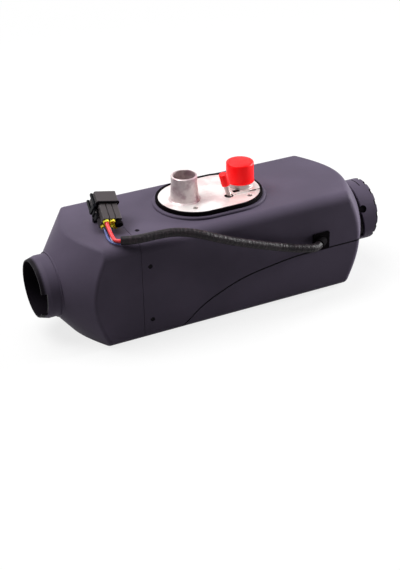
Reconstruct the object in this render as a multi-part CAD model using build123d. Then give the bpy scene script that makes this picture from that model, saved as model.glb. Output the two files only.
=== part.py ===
"""Diesel air heater, built from its separate pieces.

The heater lies on the flat of its cover, with the mounting flange up (+Z).
Heated air flows along X, from the intake grille (+X) to the outlet collar (-X).
The origin is under the middle of the case, on the surface that it stands on.
Lengths are millimetres, angles are degrees.
"""
from build123d import *
import os
from math import cos, hypot, pi, radians, sin, tan

# ---------------------------------------------------------------- case ----
CASE_WIDTH = 115.0
CASE_HEIGHT = 100.5
SHOULDER_R = 10.5          # long corners on the flange side
FOOT_R = 8.0               # long corners on the cover side
WALL = 2.4
AXIS_DROP = 0.75           # the air path's axis lies this far under the case's middle
CORNER_REACH = 15.0        # cones run this far past the corners of the case

NECK_X = -161.0            # where the collar meets the hood's cone
NECK_R = 31.5
HOOD_CORNER_X = -129.0     # hood's cone, a little inside the corners of the case
HOOD_CORNER_INSET = 4.36
HOOD_EDGE_R = 4.0
CONE_EDGE_REACH = 30.0     # no cone edge is longer along X

SEAM_X = -93.8             # joint between the hood and the two shells
SEAM_GAP = 0.4
TONGUE_LENGTH = 14.0       # hood's tongue inside the shells
TONGUE_WALL = 2.0
TONGUE_CLEARANCE = 0.25
TONGUE_ROOT = 4.0
PEG_R = 1.9
PEG_CLEARANCE = 0.35
PEG_SET_BACK = 8.6         # pegs behind the seam
PEG_SIDE_Z = (20.0, 76.0)
PEG_TOP_Y = 30.0
PEG_DEPTH = 0.6            # pegs end this far under the surface

END_X = 152.0              # flat lip round the intake
END_LIP_INSET = 8.25       # lip inside the case's top and bottom
END_CORNER_X = 128.4
END_CORNER_INSET = 2.86
END_EDGE_R = 6.0
END_LIP_EDGE_R = 4.0

# ------------------------------------------------------- outlet collar ----
COLLAR_R = 30.0            # takes a 60 mm air duct
COLLAR_LENGTH = 19.2
COLLAR_BORE_R = 26.2
COLLAR_LEAD_R = 27.6       # lead-in at the rim
COLLAR_LEAD = 8.2
COLLAR_RING_R = 31.3
COLLAR_RING = 1.6
COLLAR_NOTCH_DEPTH = 5.0
COLLAR_NOTCH_FROM = -38.0  # angles from -Y towards +Z
COLLAR_NOTCH_TO = 14.0

# ----------------------------------------------------------- split line ----
SPLIT_Z = 48.0             # height of the split at the intake end
SPLIT_START_X = -60.5      # where the split leaves the cover's flat
SPLIT_RISE = ((-35.8, 18.6), (-13.9, 30.0), (12.1, 39.3), (41.3, 44.4))
SPLIT_LEVEL_X = 84.0
SPLIT_GAP = 0.5
SPLIT_LEAVES = (1.0, 0.55) # direction at its start
LAP_HEIGHT = 3.0           # cover's tongue inside the flange shell
LAP_CLEARANCE = 0.25
LAP_START = 6.0
LAP_END = 8.4              # tongue stops before the end's cone

# ------------------------------------------------------- intake mouth ----
GROOVE_R = 37.6            # ring groove round the grille
GROOVE_DEPTH = 2.0
MOUTH_R = 29.0             # neck that carries the grille
MOUTH_LENGTH = 24.0        # past the lip
MOUTH_WALL = 2.4
LUG_ANGLES = (15.0, 135.0, 255.0)
LUG_HALF_ANGLE = 3.2
LUG_HEIGHT = 1.2
LUG_START = 13.0           # past the lip
LUG_LENGTH = 3.4

GRILLE_GAP = 9.0           # between the lip and the grille
GRILLE_LENGTH = 19.2
GRILLE_WALL = 2.1
GRILLE_CLEARANCE = 0.3
GRILLE_FACE = 2.8
GRILLE_SLOTS = 16
GRILLE_SLOT_WIDTH = 3.2
GRILLE_SLOT_R = 27.0       # air slots end inside the rim
GRILLE_SLOT_PHASE = 11.25
GRILLE_POCKET_LENGTH = 2.6 # pockets in the rim make its teeth
GRILLE_POCKET_DEPTH = 1.8
GRILLE_POCKET_HALF_ANGLE = 4.4
GRILLE_GROOVE = 0.9        # short groove round the top
GRILLE_GROOVE_START = 9.7
GRILLE_GROOVE_ANGLES = (76.0, 104.0)
GRILLE_HUB_R = 9.0
GRILLE_RING_R = (19.5, 22.0)
GRILLE_TWIST = 12.0
GRILLE_CHANNEL_SLACK = 0.35
LUG_SLACK_ANGLE = 1.2
GRILLE_EDGE = 0.8
GRILLE_FOOT_EDGE = 0.5
GRILLE_NOTCH_R = 3.8       # round notch where a lug goes in
GRILLE_NOTCH_X = 2.6
GRILLE_RAMP = (0.4, 7.6)   # foot is cut back along a slant, by so much
GRILLE_RAMP_ANGLES = (-38.0, 19.0)

# -------------------------------------------------------------- flange ----
FLANGE_X = 1.7             # middle of the mounting plate
FLANGE_HALF_LENGTH = 48.6
FLANGE_HALF_WIDTH = 35.8
FLANGE_RISE = 5.5          # face that meets the vehicle, above the case
PLATE_THICKNESS = 8.0
BOLT_X = (-22.3, 35.6)
BOLT_Y = 23.6
BOLT_R = 2.6               # tapped for M6
SEAL_WIDTH = 4.0
SEAL_FALL = 2.4            # its outer edge lies this far under the face
SEAL_CLEARANCE = 0.1
LIP_WIDTH = 1.8            # moulded lip round the seal
LIP_HEIGHT = 2.5
LIP_SKIRT = 1.2
SEAL_LEDGE = 1.2           # shell reaches this near to the plate
SEAL_DROP = 0.4

EXHAUST_X = -22.5
EXHAUST_HEIGHT = 24.7      # above the flange face
EXHAUST_BORE_R = 11.0
EXHAUST_WALL = 1.6
EXHAUST_TAPER = 1.3        # foot is this much wider than the tip
EXHAUST_LAND = 10.0        # straight stretch that takes the pipe clamp
EXHAUST_FILLET = 1.5
EXHAUST_SEAT = 3.0
EXHAUST_RECESS = 0.4       # foot stands in a shallow spot face
EXHAUST_RECESS_GAP = 0.5
EXHAUST_SEAT_WALL = 1.4
EXHAUST_EDGE = 0.6

# ------------------------------------------------------ heat exchanger ----
CORE_GAP = 4.85            # air round the burner's flange
CORE_WALL = 3.0
CORE_X = (-112.0, 18.0)
CORE_NOSE = 12.0
FIN_INSET = 6.0            # fins behind the nose
FIN_END_GAP = 4.0          # fins before the burner's flange
FIN_COUNT = 28
FIN_THICKNESS = 1.8
FIN_CASE_GAP = 3.2         # air between the fins and the case
FIN_PHASE = 6.4
BURNER_FLANGE_WIDTH = 9.0  # past the core
BURNER_FLANGE = 6.0
FLANGE_NECK_START = -44.0
FLANGE_NECK_HALF = 20.0

BURNER_TUBE_R = 22.0
BURNER_TUBE_WALL = 1.2
BURNER_TUBE_END_GAP = 26.0 # gas turns round here, inside the nose
BURNER_RIM_EDGE = 1.0      # rim ends inside the screws
BURNER_RIM = 1.2
GASKET = 1.2
HEAD_THICKNESS = 7.6
HEAD_CHAMBER_R = 18.0
HEAD_CHAMBER_WALL = 1.5
HEAD_CHAMBER_LENGTH = 26.0
HEAD_AIR_HOLES = 8
HEAD_AIR_HOLE_R = 1.8
HEAD_SCREW_EDGE = 4.0      # screws inside the flange's edge
HEAD_SCREW_R = 2.0
HEAD_SCREW_HEAD_R = 3.4
HEAD_SCREW_HEAD = 3.2
HEAD_SCREW_GRIP = 5.0
HEAD_AIR_CIRCLE = 13.5
HEAD_AIR_PHASE = 28.0
SCALLOP_R = 3.9            # room for the burner screws' heads
FUEL_BOSS_HALF = 3.6
FUEL_BOSS_DEPTH = 13.0     # under the flange face
FUEL_BOSS_LIP = 1.6
SCREW_CLEARANCE = 0.15
GLOW_PLUG_R = 2.4
GLOW_PLUG_OFFSET = (8.5, 7.0)
GLOW_PLUG_HEX = 8.0
GLOW_SCREEN_R = 4.2
GLOW_SCREEN_WALL = 0.5
GLOW_REACH = 20.0
GLOW_TERMINAL = 5.0

FUEL_PIPE_R = 2.4
FUEL_PIPE_BORE_R = 1.5
FUEL_PIPE_X = 17.6         # where it passes the flange face
FUEL_PIPE_Y = -14.7
FUEL_PIPE_LEAN = 15.0      # leans towards the outlet
FUEL_PIPE_REACH = 23.5     # along the lean, above the flange face
FUEL_PIPE_SLOT_R = 4.4
FUEL_BORE_DEPTH = 12.0

# -------------------------------------------------------------- blower ----
def scallops(x0, x1):
    """Bars that clear the burner screws' heads."""
    bar = rod(SCALLOP_R, x0, x1, -HEAD_SCREW_CIRCLE)
    return [at_angle(bar, angle) for angle in SCREW_ANGLES]


def blower_screw_bars(radius, x0, x1):
    """The four cover screws' places, as bars."""
    bar = rod(radius, x0, x1, -BLOWER_SCREW_CIRCLE)
    return [at_angle(bar, angle) for angle in BLOWER_SCREW_ANGLES]


PAD_X = 23.0               # casting's pad set into the flange plate
PAD_HALF_WIDTH = 15.5
PAD_RISE = 1.0
PAD_CLEARANCE = 0.15
PAD_STEM_INSET = 2.0
PAD_POCKET_X = (24.0, 31.0)
PAD_POCKET_Y = (-13.0, -8.0)
SPIGOT_X = 37.4
SPIGOT_R = 12.0            # combustion air spigot under the red cap
SPIGOT_BORE_R = 10.2
SPIGOT_HEIGHT = 24.5       # above the flange face
BLOWER_R = 38.0
BLOWER_WALL = 4.0
PLENUM_LENGTH = 18.0
PLENUM_WALL = 6.0
IMPELLER_WIDTH = 9.0
IMPELLER_R = 27.5
IMPELLER_CLEARANCE = 1.0
IMPELLER_SIDE_GAP = 2.0
IMPELLER_DISC = 1.6
IMPELLER_VANE = 1.2
IMPELLER_HUB_R = 6.5
IMPELLER_VANES = 20
IMPELLER_VANE_LENGTH = 10.0
IMPELLER_VANE_INSET = 0.4
CHAMBER_LENGTH = 14.0
TRANSFER_PORT_R = 7.0
BLOWER_GASKET = 0.6
BLOWER_COVER = 4.0
BLOWER_SCREW_R = 2.0
BLOWER_SCREW_HEAD_R = 3.4
MOTOR_BOSS_R = 18.5
MOTOR_BOSS = 3.4

# --------------------------------------------------------------- motor ----
MOTOR_LENGTH = 40.0
MOTOR_R = 20.0
MOTOR_WALL = 1.8
MOTOR_CAP = 3.6
MAGNET_THICKNESS = 2.6
MAGNET_END_GAP = 6.4
MAGNET_HALF_ANGLE = 62.0
ARMATURE_GAP = 0.8
ARMATURE_SLOTS = 7
ARMATURE_SLOT_WIDTH = 2.4
ARMATURE_SLOT_DEPTH = 6.0
COMMUTATOR = 1.4
SHAFT_R = 2.5
SHAFT_TAIL = 1.0           # shaft before the impeller's hub
BEARING_R = 6.5
BEARING_WIDTH = 4.0
BEARING_GAP = 0.05
BEARING_CUP = 1.6
SHAFT_PASS = 0.6
SHAFT_FIT = 0.02
MOTOR_BOLT_R = 1.5
MOTOR_BOLT_GAP = 0.2       # between the bolts and the can
MOTOR_BOLT_HEAD_R = 2.7
MOTOR_BOLT_HEAD = 2.0
MOTOR_BOLT_GRIP = 4.5

# ----------------------------------------------------------------- fan ----
FAN_STANDOFF = 6.4         # fan's hub past the motor's end cap
FAN_WIDTH = 19.5
FAN_HUB_R = 13.0
FAN_R = 37.0
FAN_BLADES = 9
FAN_PHASE = 3.0
FAN_BLADE_THICKNESS = 1.5
FAN_SWEEP = 13.0           # how far a blade leans round the hub
FAN_CAMBER = 3.0
FAN_BLADE_EDGE = 1.0       # blade ends inside the hub's faces
FAN_NOSE_R = 5.0
FAN_NUT_R = 4.6
FAN_NUT = 3.0
SHROUD_CLEARANCE = 1.4     # round the blades' tips
SHROUD_WALL = 1.8
SHROUD_LENGTH = 25.5
SHROUD_THROAT_R = 31.0
SHROUD_GAP = 0.1

# ------------------------------------------------------------- control ----
CONTROL_GAP = 4.0          # past the blower's boss
CONTROL_LENGTH = 38.0
CONTROL_HALF_WIDTH = 40.0
CONTROL_FOOT = 1.6
CONTROL_HEIGHT = 20.0
CONTROL_WALL = 1.8
CONTROL_LID = 1.8
CONTROL_FOOT_R = 4.0
CONTROL_CORNER_R = 3.0
BOARD_POST_R = 2.4
BOARD_CLEARANCE = 0.6
CAPACITOR_R = 3.0
CAPACITOR_HEIGHT = 8.0
BOARD_THICKNESS = 1.6
BOARD_HEIGHT = 5.0

SENSOR_R = 6.0
SENSOR_THICKNESS = 3.2
SENSOR_STRAP = 0.6

# -------------------------------------------------------- red end caps ----
CAP_WALL = 1.5
CAP_LENGTH = 20.3
CAP_TOP_THICKNESS = 1.8
CAP_CLEARANCE = 0.3
CAP_EDGE_R = 1.2
PIPE_CAP_R = 4.2
PIPE_CAP_LENGTH = 16.5
PIPE_CAP_CLEARANCE = 0.3
PIPE_CAP_TOP = 1.5

# ------------------------------------------------- harness and connector ----
GROMMET_X = 95.4
GROMMET_Z = 57.7
GROMMET_HALF = 9.2
GROMMET_NECK_HALF = 7.8
GROMMET_CORNER_R = 1.6
GROMMET_LIP = 1.5
GROMMET_CLEARANCE = 0.12
GROMMET_RING_R = 6.8
GROMMET_RING = 1.0
GROMMET_BOSS_R = 4.9
GROMMET_BOSS = 8.4
CABLE_R = 4.1
ARC_SHARE = 0.45           # of the shorter run, at each corner
LEAD_R = 3.0
LEAD_DROP = ((0.0, -42.0, 57.7), (0.0, -40.0, 42.0))
LEAD_END_Y = -36.0

CABLE_ROUTE = (
    (90.5, -63.3, 57.7),
    (84.5, -67.8, 57.3),
    (75.8, -68.3, 59.5),
    (64.6, -66.6, 61.1),
    (48.4, -64.1, 65.5),
    (28.3, -64.9, 72.9),
    (10.2, -64.9, 79.5),
    (-7.9, -65.5, 87.0),
    (-23.4, -65.7, 94.1),
    (-36.2, -63.9, 99.8),
    (-48.3, -60.9, 103.4),
    (-60.9, -58.0, 105.6),
    (-75.1, -56.6, 105.8),
    (-87.0, -56.4, 105.8),
    (-98.5, -55.6, 105.6),
    (-109.6, -50.4, 105.2),
)
RED_WIRE_R = 1.7
THIN_WIRE_R = 1.0

CONNECTOR_X = -108.4       # middle of the rear face's lower edge
CONNECTOR_Y = -17.2
CONNECTOR_RISE = 3.0       # above the case
CONNECTOR_TURN = 6.6       # from +Y towards +X
CONNECTOR_PITCH = 30.8
CONNECTOR_ROLL = 13.3
CONNECTOR_WIDTH = 18.6
CONNECTOR_THICKNESS = 14.3
CONNECTOR_LENGTH = 29.7
CONNECTOR_COLUMNS = 3
COLUMN_PITCH = 6.0
COLUMN_GROOVE = 1.1
ROW_HEIGHTS = (3.4, 10.9)
MATE_LENGTH = 11.4         # mating shroud
MATE_PROUD = 1.3
MATE_EDGE_R = 1.2
MATE_SEAT = 9.5
FACE_SEAL_PROUD = 0.5
CAVITY_DEPTH = 3.0
PLUGGED_COLUMN = 2         # place with no wire
PLUGGED_ROW = 1
FACE_SEAL = 1.3
WIRE_SEAL_R = 2.7
WIRE_SEAL_PROUD = 2.6
WIRE_SEAL_ROUND = 0.4
WIRE_SEAL_BORE_R = 1.3     # of a seal with no wire
WIRE_FIT = 0.05
PLUG_R = 3.6
PLUG_PROUD = 5.6
PLUG_GAP = 0.2             # its head stands clear of the seals
LATCH_GAP = 3.6
LATCH_THICKNESS = 1.6
LATCH_Y = (4.0, 29.5)
LATCH_Z = (4.5, 10.5)
LATCH_BEAM_Y = (14.0, 17.4)  # beam that carries the two prongs
LATCH_BEAM_Z = (0.4, 13.9)
LATCH_BEAM_PROUD = 0.9
LATCH_PRONG = 3.2
GUARD_Y = 12.5             # slanted rib beside the latch
GUARD_WIDTH = 0.9
GUARD_Z = (3.0, 13.6)
GUARD_REACH = 2.1
LATCH_PIVOT_Y = 10.0
LATCH_PIN_R = 0.9
LATCH_PIN_FIT = 0.06
LATCH_HUB_R = 1.9
LATCH_LUG = 1.6
LATCH_SLACK = 0.2
LATCH_EDGE_R = 1.0
LATCH_NOSE = 0.5
CLIP_SET_BACK = 3.0
CLIP_WIDTH = 5.0
CLIP_THICKNESS = 1.8
CLIP_LEG_X = -6.0
CLIP_GAP = 0.3
WIRE_RUN_OUT = 4.8
WIRE_RUN_IN = 5.0
RED_WAYPOINTS = ((-114.4, -42.4, 106.3),)
WHITE_WAYPOINTS = ((-115.0, -39.6, 102.8),)
BLUE_WAYPOINTS = ((-117.8, -40.8, 103.0),)
RED_START = (-1.4, 0.6)     # from the cable's middle, across and up
WHITE_START = (1.9, -2.2)
BLUE_START = (-1.2, -2.6)

# ------------------------------------------------ what follows from them ----
AXIS_Z = CASE_HEIGHT / 2 - AXIS_DROP
RED_PLACE = (0, 1)         # column and row of each wire's cavity
WHITE_PLACE = (1, 0)
BLUE_PLACE = (0, 0)
WIRE_BORES = {
    RED_PLACE: RED_WIRE_R + WIRE_FIT,
    WHITE_PLACE: THIN_WIRE_R + WIRE_FIT,
    BLUE_PLACE: THIN_WIRE_R + WIRE_FIT,
}
AIR_AXIS = Axis((0, 0, AXIS_Z), (1, 0, 0))
EPS = 0.01                 # overlap inside one piece
PAST = 1.0                 # how far a cut runs past what it cuts
SCREW_ANGLES = (45.0, 135.0, 225.0, 315.0)
BLOWER_SCREW_ANGLES = (0.0, 90.0, 180.0, 270.0)

CASE_CORNER_R = hypot(CASE_WIDTH, CASE_HEIGHT) / 2
CONE_REACH_R = CASE_CORNER_R + CORNER_REACH
HOOD_CORNER_R = CASE_CORNER_R - HOOD_CORNER_INSET
END_CORNER_R = CASE_CORNER_R - END_CORNER_INSET
END_LIP_R = CASE_HEIGHT / 2 - END_LIP_INSET
COLLAR_RIM_X = NECK_X - COLLAR_LENGTH
GROOVE_FLOOR_X = END_X - GROOVE_DEPTH
MOUTH_END_X = END_X + MOUTH_LENGTH
LUG_X = (END_X + LUG_START, END_X + LUG_START + LUG_LENGTH)
GRILLE_X = (END_X + GRILLE_GAP, END_X + GRILLE_GAP + GRILLE_LENGTH)
GRILLE_R = MOUTH_R + GRILLE_CLEARANCE + GRILLE_WALL
FLANGE_Z = CASE_HEIGHT + FLANGE_RISE
LIP_Z = CASE_HEIGHT + LIP_HEIGHT
PLATE_Z = FLANGE_Z - PLATE_THICKNESS

EXHAUST_TIP_R = EXHAUST_BORE_R + EXHAUST_WALL
EXHAUST_TIP_Z = FLANGE_Z + EXHAUST_HEIGHT
SPIGOT_TIP_Z = FLANGE_Z + SPIGOT_HEIGHT
CAP_TOP_Z = SPIGOT_TIP_Z + CAP_CLEARANCE + CAP_TOP_THICKNESS
FUEL_BOSS_Z = FLANGE_Z - FUEL_BOSS_DEPTH

BURNER_FLANGE_R = CASE_HEIGHT / 2 - WALL - CORE_GAP
CORE_R = BURNER_FLANGE_R - BURNER_FLANGE_WIDTH
HEAD_SCREW_CIRCLE = BURNER_FLANGE_R - HEAD_SCREW_EDGE
BURNER_RIM_R = HEAD_SCREW_CIRCLE - HEAD_SCREW_R - BURNER_RIM_EDGE
BURNER_FLANGE_X = CORE_X[1] - BURNER_FLANGE
GASKET_X = CORE_X[1] + BURNER_RIM
HEAD_X = GASKET_X + GASKET
BLOWER_X = HEAD_X + HEAD_THICKNESS
CHAMBER_X = BLOWER_X + PLENUM_LENGTH + PLENUM_WALL
CHAMBER_R = IMPELLER_R + IMPELLER_CLEARANCE
PLENUM_R = BLOWER_R - BLOWER_WALL
BLOWER_SCREW_CIRCLE = (CHAMBER_R + BLOWER_R) / 2
IMPELLER_START = CHAMBER_X + IMPELLER_SIDE_GAP
IMPELLER_END = IMPELLER_START + IMPELLER_WIDTH
BLOWER_END = CHAMBER_X + CHAMBER_LENGTH
BLOWER_COVER_X = BLOWER_END + BLOWER_GASKET
MOTOR_BOSS_X = BLOWER_COVER_X + BLOWER_COVER
MOTOR_START = MOTOR_BOSS_X + MOTOR_BOSS
MOTOR_END = MOTOR_START + MOTOR_LENGTH
CAN_BORE_R = MOTOR_R - MOTOR_WALL
MAGNET_R = CAN_BORE_R - MAGNET_THICKNESS
MAGNET_X = (MOTOR_START + MAGNET_END_GAP, MOTOR_END - MAGNET_END_GAP)
ARMATURE_R = MAGNET_R - ARMATURE_GAP
MOTOR_BOLT_CIRCLE = CAN_BORE_R - MOTOR_BOLT_R - MOTOR_BOLT_GAP
FAN_START = MOTOR_END + MOTOR_CAP + FAN_STANDOFF
FAN_END = FAN_START + FAN_WIDTH
CONTROL_X = (MOTOR_START + CONTROL_GAP, MOTOR_START + CONTROL_GAP + CONTROL_LENGTH)
CONTROL_Z = (WALL + CONTROL_FOOT, WALL + CONTROL_FOOT + CONTROL_HEIGHT)
CONTROL_TOP_Z = CONTROL_Z[1] + CONTROL_LID
NEAR_Y = -CASE_WIDTH / 2   # side with the harness
CONNECTOR_FOOT = (CONNECTOR_X, CONNECTOR_Y, CASE_HEIGHT + CONNECTOR_RISE)


# ------------------------------------------------------------- helpers ----
def rod(radius, x0, x1, y=0.0, z=AXIS_Z):
    """Round bar along X."""
    plane = Plane(origin=(x0, y, z), x_dir=(0, 1, 0), z_dir=(1, 0, 0))
    return extrude(plane * Circle(radius), x1 - x0)


def tube(outer, inner, x0, x1):
    """Round tube along X, on the air axis."""
    return rod(outer, x0, x1) - rod(inner, x0 - 1, x1 + 1)


def post(radius, x, y, z0, z1):
    """Round bar along Z."""
    return Pos(x, y, z0) * extrude(Circle(radius), z1 - z0)


def block(xs, ys, zs):
    """Box between pairs of limits."""
    size = [hi - lo for lo, hi in (xs, ys, zs)]
    middle = [(hi + lo) / 2 for lo, hi in (xs, ys, zs)]
    return Pos(*middle) * Box(*size)


def turned(points):
    """Outline of (x, radius) points turned about the air axis."""
    outline = make_face(Polyline(*points, close=True))
    return revolve(Plane.XZ * Pos(0, AXIS_Z) * outline, axis=AIR_AXIS)


def ring_of(piece, count, phase=0.0):
    """Equally spaced copies round the air axis."""
    return [piece.rotate(AIR_AXIS, phase + 360.0 / count * turn) for turn in range(count)]


def at_angle(piece, angle):
    """Piece drawn at -Y, moved by an angle from -Y towards +Z."""
    return piece.rotate(AIR_AXIS, -angle)


def sector(radius, x0, x1, start, stop):
    """Wedge about the air axis between two angles from -Y towards +Z."""
    steps = 4
    angles = [start + (stop - start) * step / steps for step in range(steps + 1)]
    reach = radius / cos(radians((stop - start) / steps / 2))
    rim = [(-reach * cos(radians(a)), reach * sin(radians(a))) for a in angles]
    face = make_face(Polyline((0, 0), *rim, close=True))
    plane = Plane(origin=(x0, 0, AXIS_Z), x_dir=(0, 1, 0), z_dir=(1, 0, 0))
    return extrude(plane * face, x1 - x0)


def stadium(grow, z0, z1):
    """Mounting plate's outline, grown on all sides, between two heights."""
    length = 2 * (FLANGE_HALF_LENGTH + grow)
    width = 2 * (FLANGE_HALF_WIDTH + grow)
    return Pos(FLANGE_X, 0, z0) * extrude(SlotOverall(length, width), z1 - z0)


# ---------------------------------------------------------------- case ----
def cone_shift(inset, x_run, r_run):
    """Distance along X that a cone moves when its wall is inset."""
    return inset * hypot(x_run, r_run) / r_run


def case_cones(inset):
    """Solid of revolution that cuts both ends of the case to their cones."""
    hood_run = HOOD_CORNER_X - NECK_X
    hood_rise = HOOD_CORNER_R - NECK_R
    end_run = END_X - END_CORNER_X
    end_rise = END_CORNER_R - END_LIP_R
    hood_slope = hood_run / hood_rise
    end_slope = end_run / end_rise
    front = NECK_X + cone_shift(inset, hood_run, hood_rise)
    back = END_X + cone_shift(-inset, end_run, end_rise)
    front_reach = front + (CONE_REACH_R - NECK_R) * hood_slope
    back_reach = back - (CONE_REACH_R - END_LIP_R) * end_slope
    lip_r = END_LIP_R + (back - END_X + inset) / end_slope
    return turned([
        (front, 0),
        (front, NECK_R),
        (front_reach, CONE_REACH_R),
        (back_reach, CONE_REACH_R),
        (END_X - inset, lip_r),
        (END_X - inset, 0),
    ])


def case_section(inset):
    """Rounded rectangle across the case."""
    outline = Rectangle(CASE_WIDTH - 2 * inset, CASE_HEIGHT - 2 * inset)
    corners = outline.vertices().sort_by(Axis.Y)
    outline = fillet(corners[2:], SHOULDER_R - inset)
    corners = outline.vertices().group_by(Axis.Y)[0]
    return fillet(corners, FOOT_R - inset)


def case_form(inset=0.0):
    """Solid form of the whole case, inset on all sides."""
    plane = Plane(origin=(NECK_X, 0, CASE_HEIGHT / 2), x_dir=(0, 1, 0), z_dir=(1, 0, 0))
    bar = extrude(plane * case_section(inset), END_X - NECK_X)
    return bar & case_cones(inset)


# ------------------------------------------------- case and its openings ----
def cone_edges(form, low, high):
    """Edges where a cone meets the case's sides, between two places along X."""
    return [
        edge for edge in form.edges()
        if low < edge.center().X < high
        and hypot(edge.center().Y, edge.center().Z - AXIS_Z) > END_LIP_R + WALL
        and edge.bounding_box().size.X < CONE_EDGE_REACH
    ]


def lip_edges(form):
    """Circle where the intake end's cone meets its flat lip."""
    return [edge for edge in form.edges() if edge.center().X > END_X - EPS and edge.length > CASE_WIDTH]


def rounded_case():
    """Outer form of the case, with its moulded edges."""
    form = case_form()
    form = fillet(cone_edges(form, NECK_X, SEAM_X), HOOD_EDGE_R)
    form = fillet(cone_edges(form, SEAM_X, END_X), END_EDGE_R)
    return fillet(lip_edges(form), END_LIP_EDGE_R)


def case_sleeve(outer_inset, inner_inset, x0, x1):
    """Straight sleeve with the case's section, between two insets."""
    plane = Plane(origin=(x0, 0, CASE_HEIGHT / 2), x_dir=(0, 1, 0), z_dir=(1, 0, 0))
    outer = extrude(plane * case_section(outer_inset), x1 - x0)
    return outer - extrude(plane * case_section(inner_inset), x1 - x0)


def beyond(x):
    """Everything on the intake side of a place along X."""
    reach = 2 * CASE_WIDTH
    return block((x, x + 2 * reach), (-reach, reach), (-reach, reach))


def split_region(shift=0.0, lift=0.0):
    """Everything on the cover's side of the split line, moved in X and Z."""
    far = END_X + CASE_WIDTH
    floor = -CASE_HEIGHT
    start = (SPLIT_START_X, 0.0)
    level = (SPLIT_LEVEL_X, SPLIT_Z)
    curve = Spline(start, *SPLIT_RISE, level, tangents=(SPLIT_LEAVES, (1, 0)))
    rest = Polyline(level, (far, SPLIT_Z), (far, floor), (SPLIT_START_X, floor), start)
    face = make_face(curve + rest)
    return Pos(shift, CASE_WIDTH, lift) * extrude(Plane.XZ * face, 2 * CASE_WIDTH)


def peg_posts(radius, depth_in, depth_out):
    """Bars at the hood's snap pegs, from one depth under the case to another."""
    x = SEAM_X + PEG_SET_BACK
    bars = []
    for z in PEG_SIDE_Z:
        for side in (-1, 1):
            plane = Plane(origin=(x, side * (CASE_WIDTH / 2 - depth_out), z), z_dir=(0, -side, 0))
            bars.append(extrude(plane * Circle(radius), depth_in - depth_out))
    for y in (-PEG_TOP_Y, PEG_TOP_Y):
        top = CASE_HEIGHT - depth_out
        bars.append(post(radius, x, y, top - (depth_in - depth_out), top))
        bars.append(post(radius, x, y, depth_out, depth_in))
    return bars


def mouth_ring():
    """Ring groove and neck at the intake end, turned as one wall."""
    return turned([
        (GROOVE_FLOOR_X - WALL, MOUTH_R - MOUTH_WALL),
        (MOUTH_END_X, MOUTH_R - MOUTH_WALL),
        (MOUTH_END_X, MOUTH_R),
        (GROOVE_FLOOR_X, MOUTH_R),
        (GROOVE_FLOOR_X, GROOVE_R),
        (END_X, GROOVE_R),
        (END_X, GROOVE_R + WALL),
        (GROOVE_FLOOR_X - WALL, GROOVE_R + WALL),
    ])


def bayonet_lugs():
    """Three lugs on the neck that lock the intake grille."""
    collar = tube(MOUTH_R + LUG_HEIGHT, MOUTH_R - EPS, *LUG_X)
    return [
        collar & sector(GRILLE_R, *LUG_X, angle - LUG_HALF_ANGLE, angle + LUG_HALF_ANGLE)
        for angle in LUG_ANGLES
    ]


def shell_stock(outer, inner):
    """Both shells as one, from the seam to the intake's mouth."""
    stock = (outer - inner) & beyond(SEAM_X + SEAM_GAP)
    stock -= rod(GROOVE_R + WALL - EPS, GROOVE_FLOOR_X - 2 * WALL, END_X + WALL)
    return stock + mouth_ring()


def lap_layer(clearance):
    """Inner half of the shells' wall, where the cover's tongue runs."""
    return case_form(WALL / 2 + clearance) - case_form(WALL)


def grommet_square(half, y0, y1):
    """Rounded square plate in the near side's wall."""
    plane = Plane(origin=(GROMMET_X, y0, GROMMET_Z), x_dir=(1, 0, 0), z_dir=(0, 1, 0))
    square = RectangleRounded(2 * half, 2 * half, GROMMET_CORNER_R)
    return extrude(plane * square, y1 - y0)


def flange_shell(stock):
    """Shell round the mounting flange, with the seal's lip and the hood's peg holes."""
    shell = stock - split_region(0, SPLIT_GAP / 2)
    tongue_space = lap_layer(0) & split_region(0, LAP_HEIGHT + LAP_CLEARANCE)
    shell -= tongue_space & beyond(SPLIT_START_X)
    lip = stadium(SEAL_WIDTH + LIP_WIDTH, CASE_HEIGHT - WALL, LIP_Z)
    lip = chamfer(lip.edges().group_by(Axis.Z)[-1], LIP_SKIRT)
    shell += lip - stadium(SEAL_WIDTH + PAD_CLEARANCE, 0, FLANGE_Z)
    shell += stadium(SEAL_WIDTH + LIP_WIDTH, CASE_HEIGHT - WALL, CASE_HEIGHT)
    shell -= stadium(SEAL_LEDGE, 0, FLANGE_Z)
    shell -= peg_posts(PEG_R + PEG_CLEARANCE, WALL + TONGUE_CLEARANCE, -WALL)
    shell -= grommet_square(GROMMET_NECK_HALF + GROMMET_CLEARANCE, NEAR_Y - WALL, NEAR_Y + 2 * WALL)
    upper = [lug for lug in bayonet_lugs() if lug.center().Z > SPLIT_Z]
    return shell + upper


def cover_shell(stock):
    """Large cover with the swept split line and its lap tongue."""
    cover = stock & split_region(SPLIT_GAP, -SPLIT_GAP / 2)
    tongue = lap_layer(LAP_CLEARANCE) & split_region(SPLIT_GAP, LAP_HEIGHT)
    tongue -= split_region(0, -LAP_HEIGHT)
    reach = (SPLIT_START_X + LAP_START, END_CORNER_X - LAP_END)
    tongue &= block(reach, (-CASE_WIDTH, CASE_WIDTH), (0, CASE_HEIGHT))
    tongue -= grommet_square(GROMMET_HALF + LAP_CLEARANCE, NEAR_Y - WALL, NEAR_Y + 2 * WALL)
    lower = [lug for lug in bayonet_lugs() if lug.center().Z < SPLIT_Z]
    return cover + tongue + lower


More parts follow.
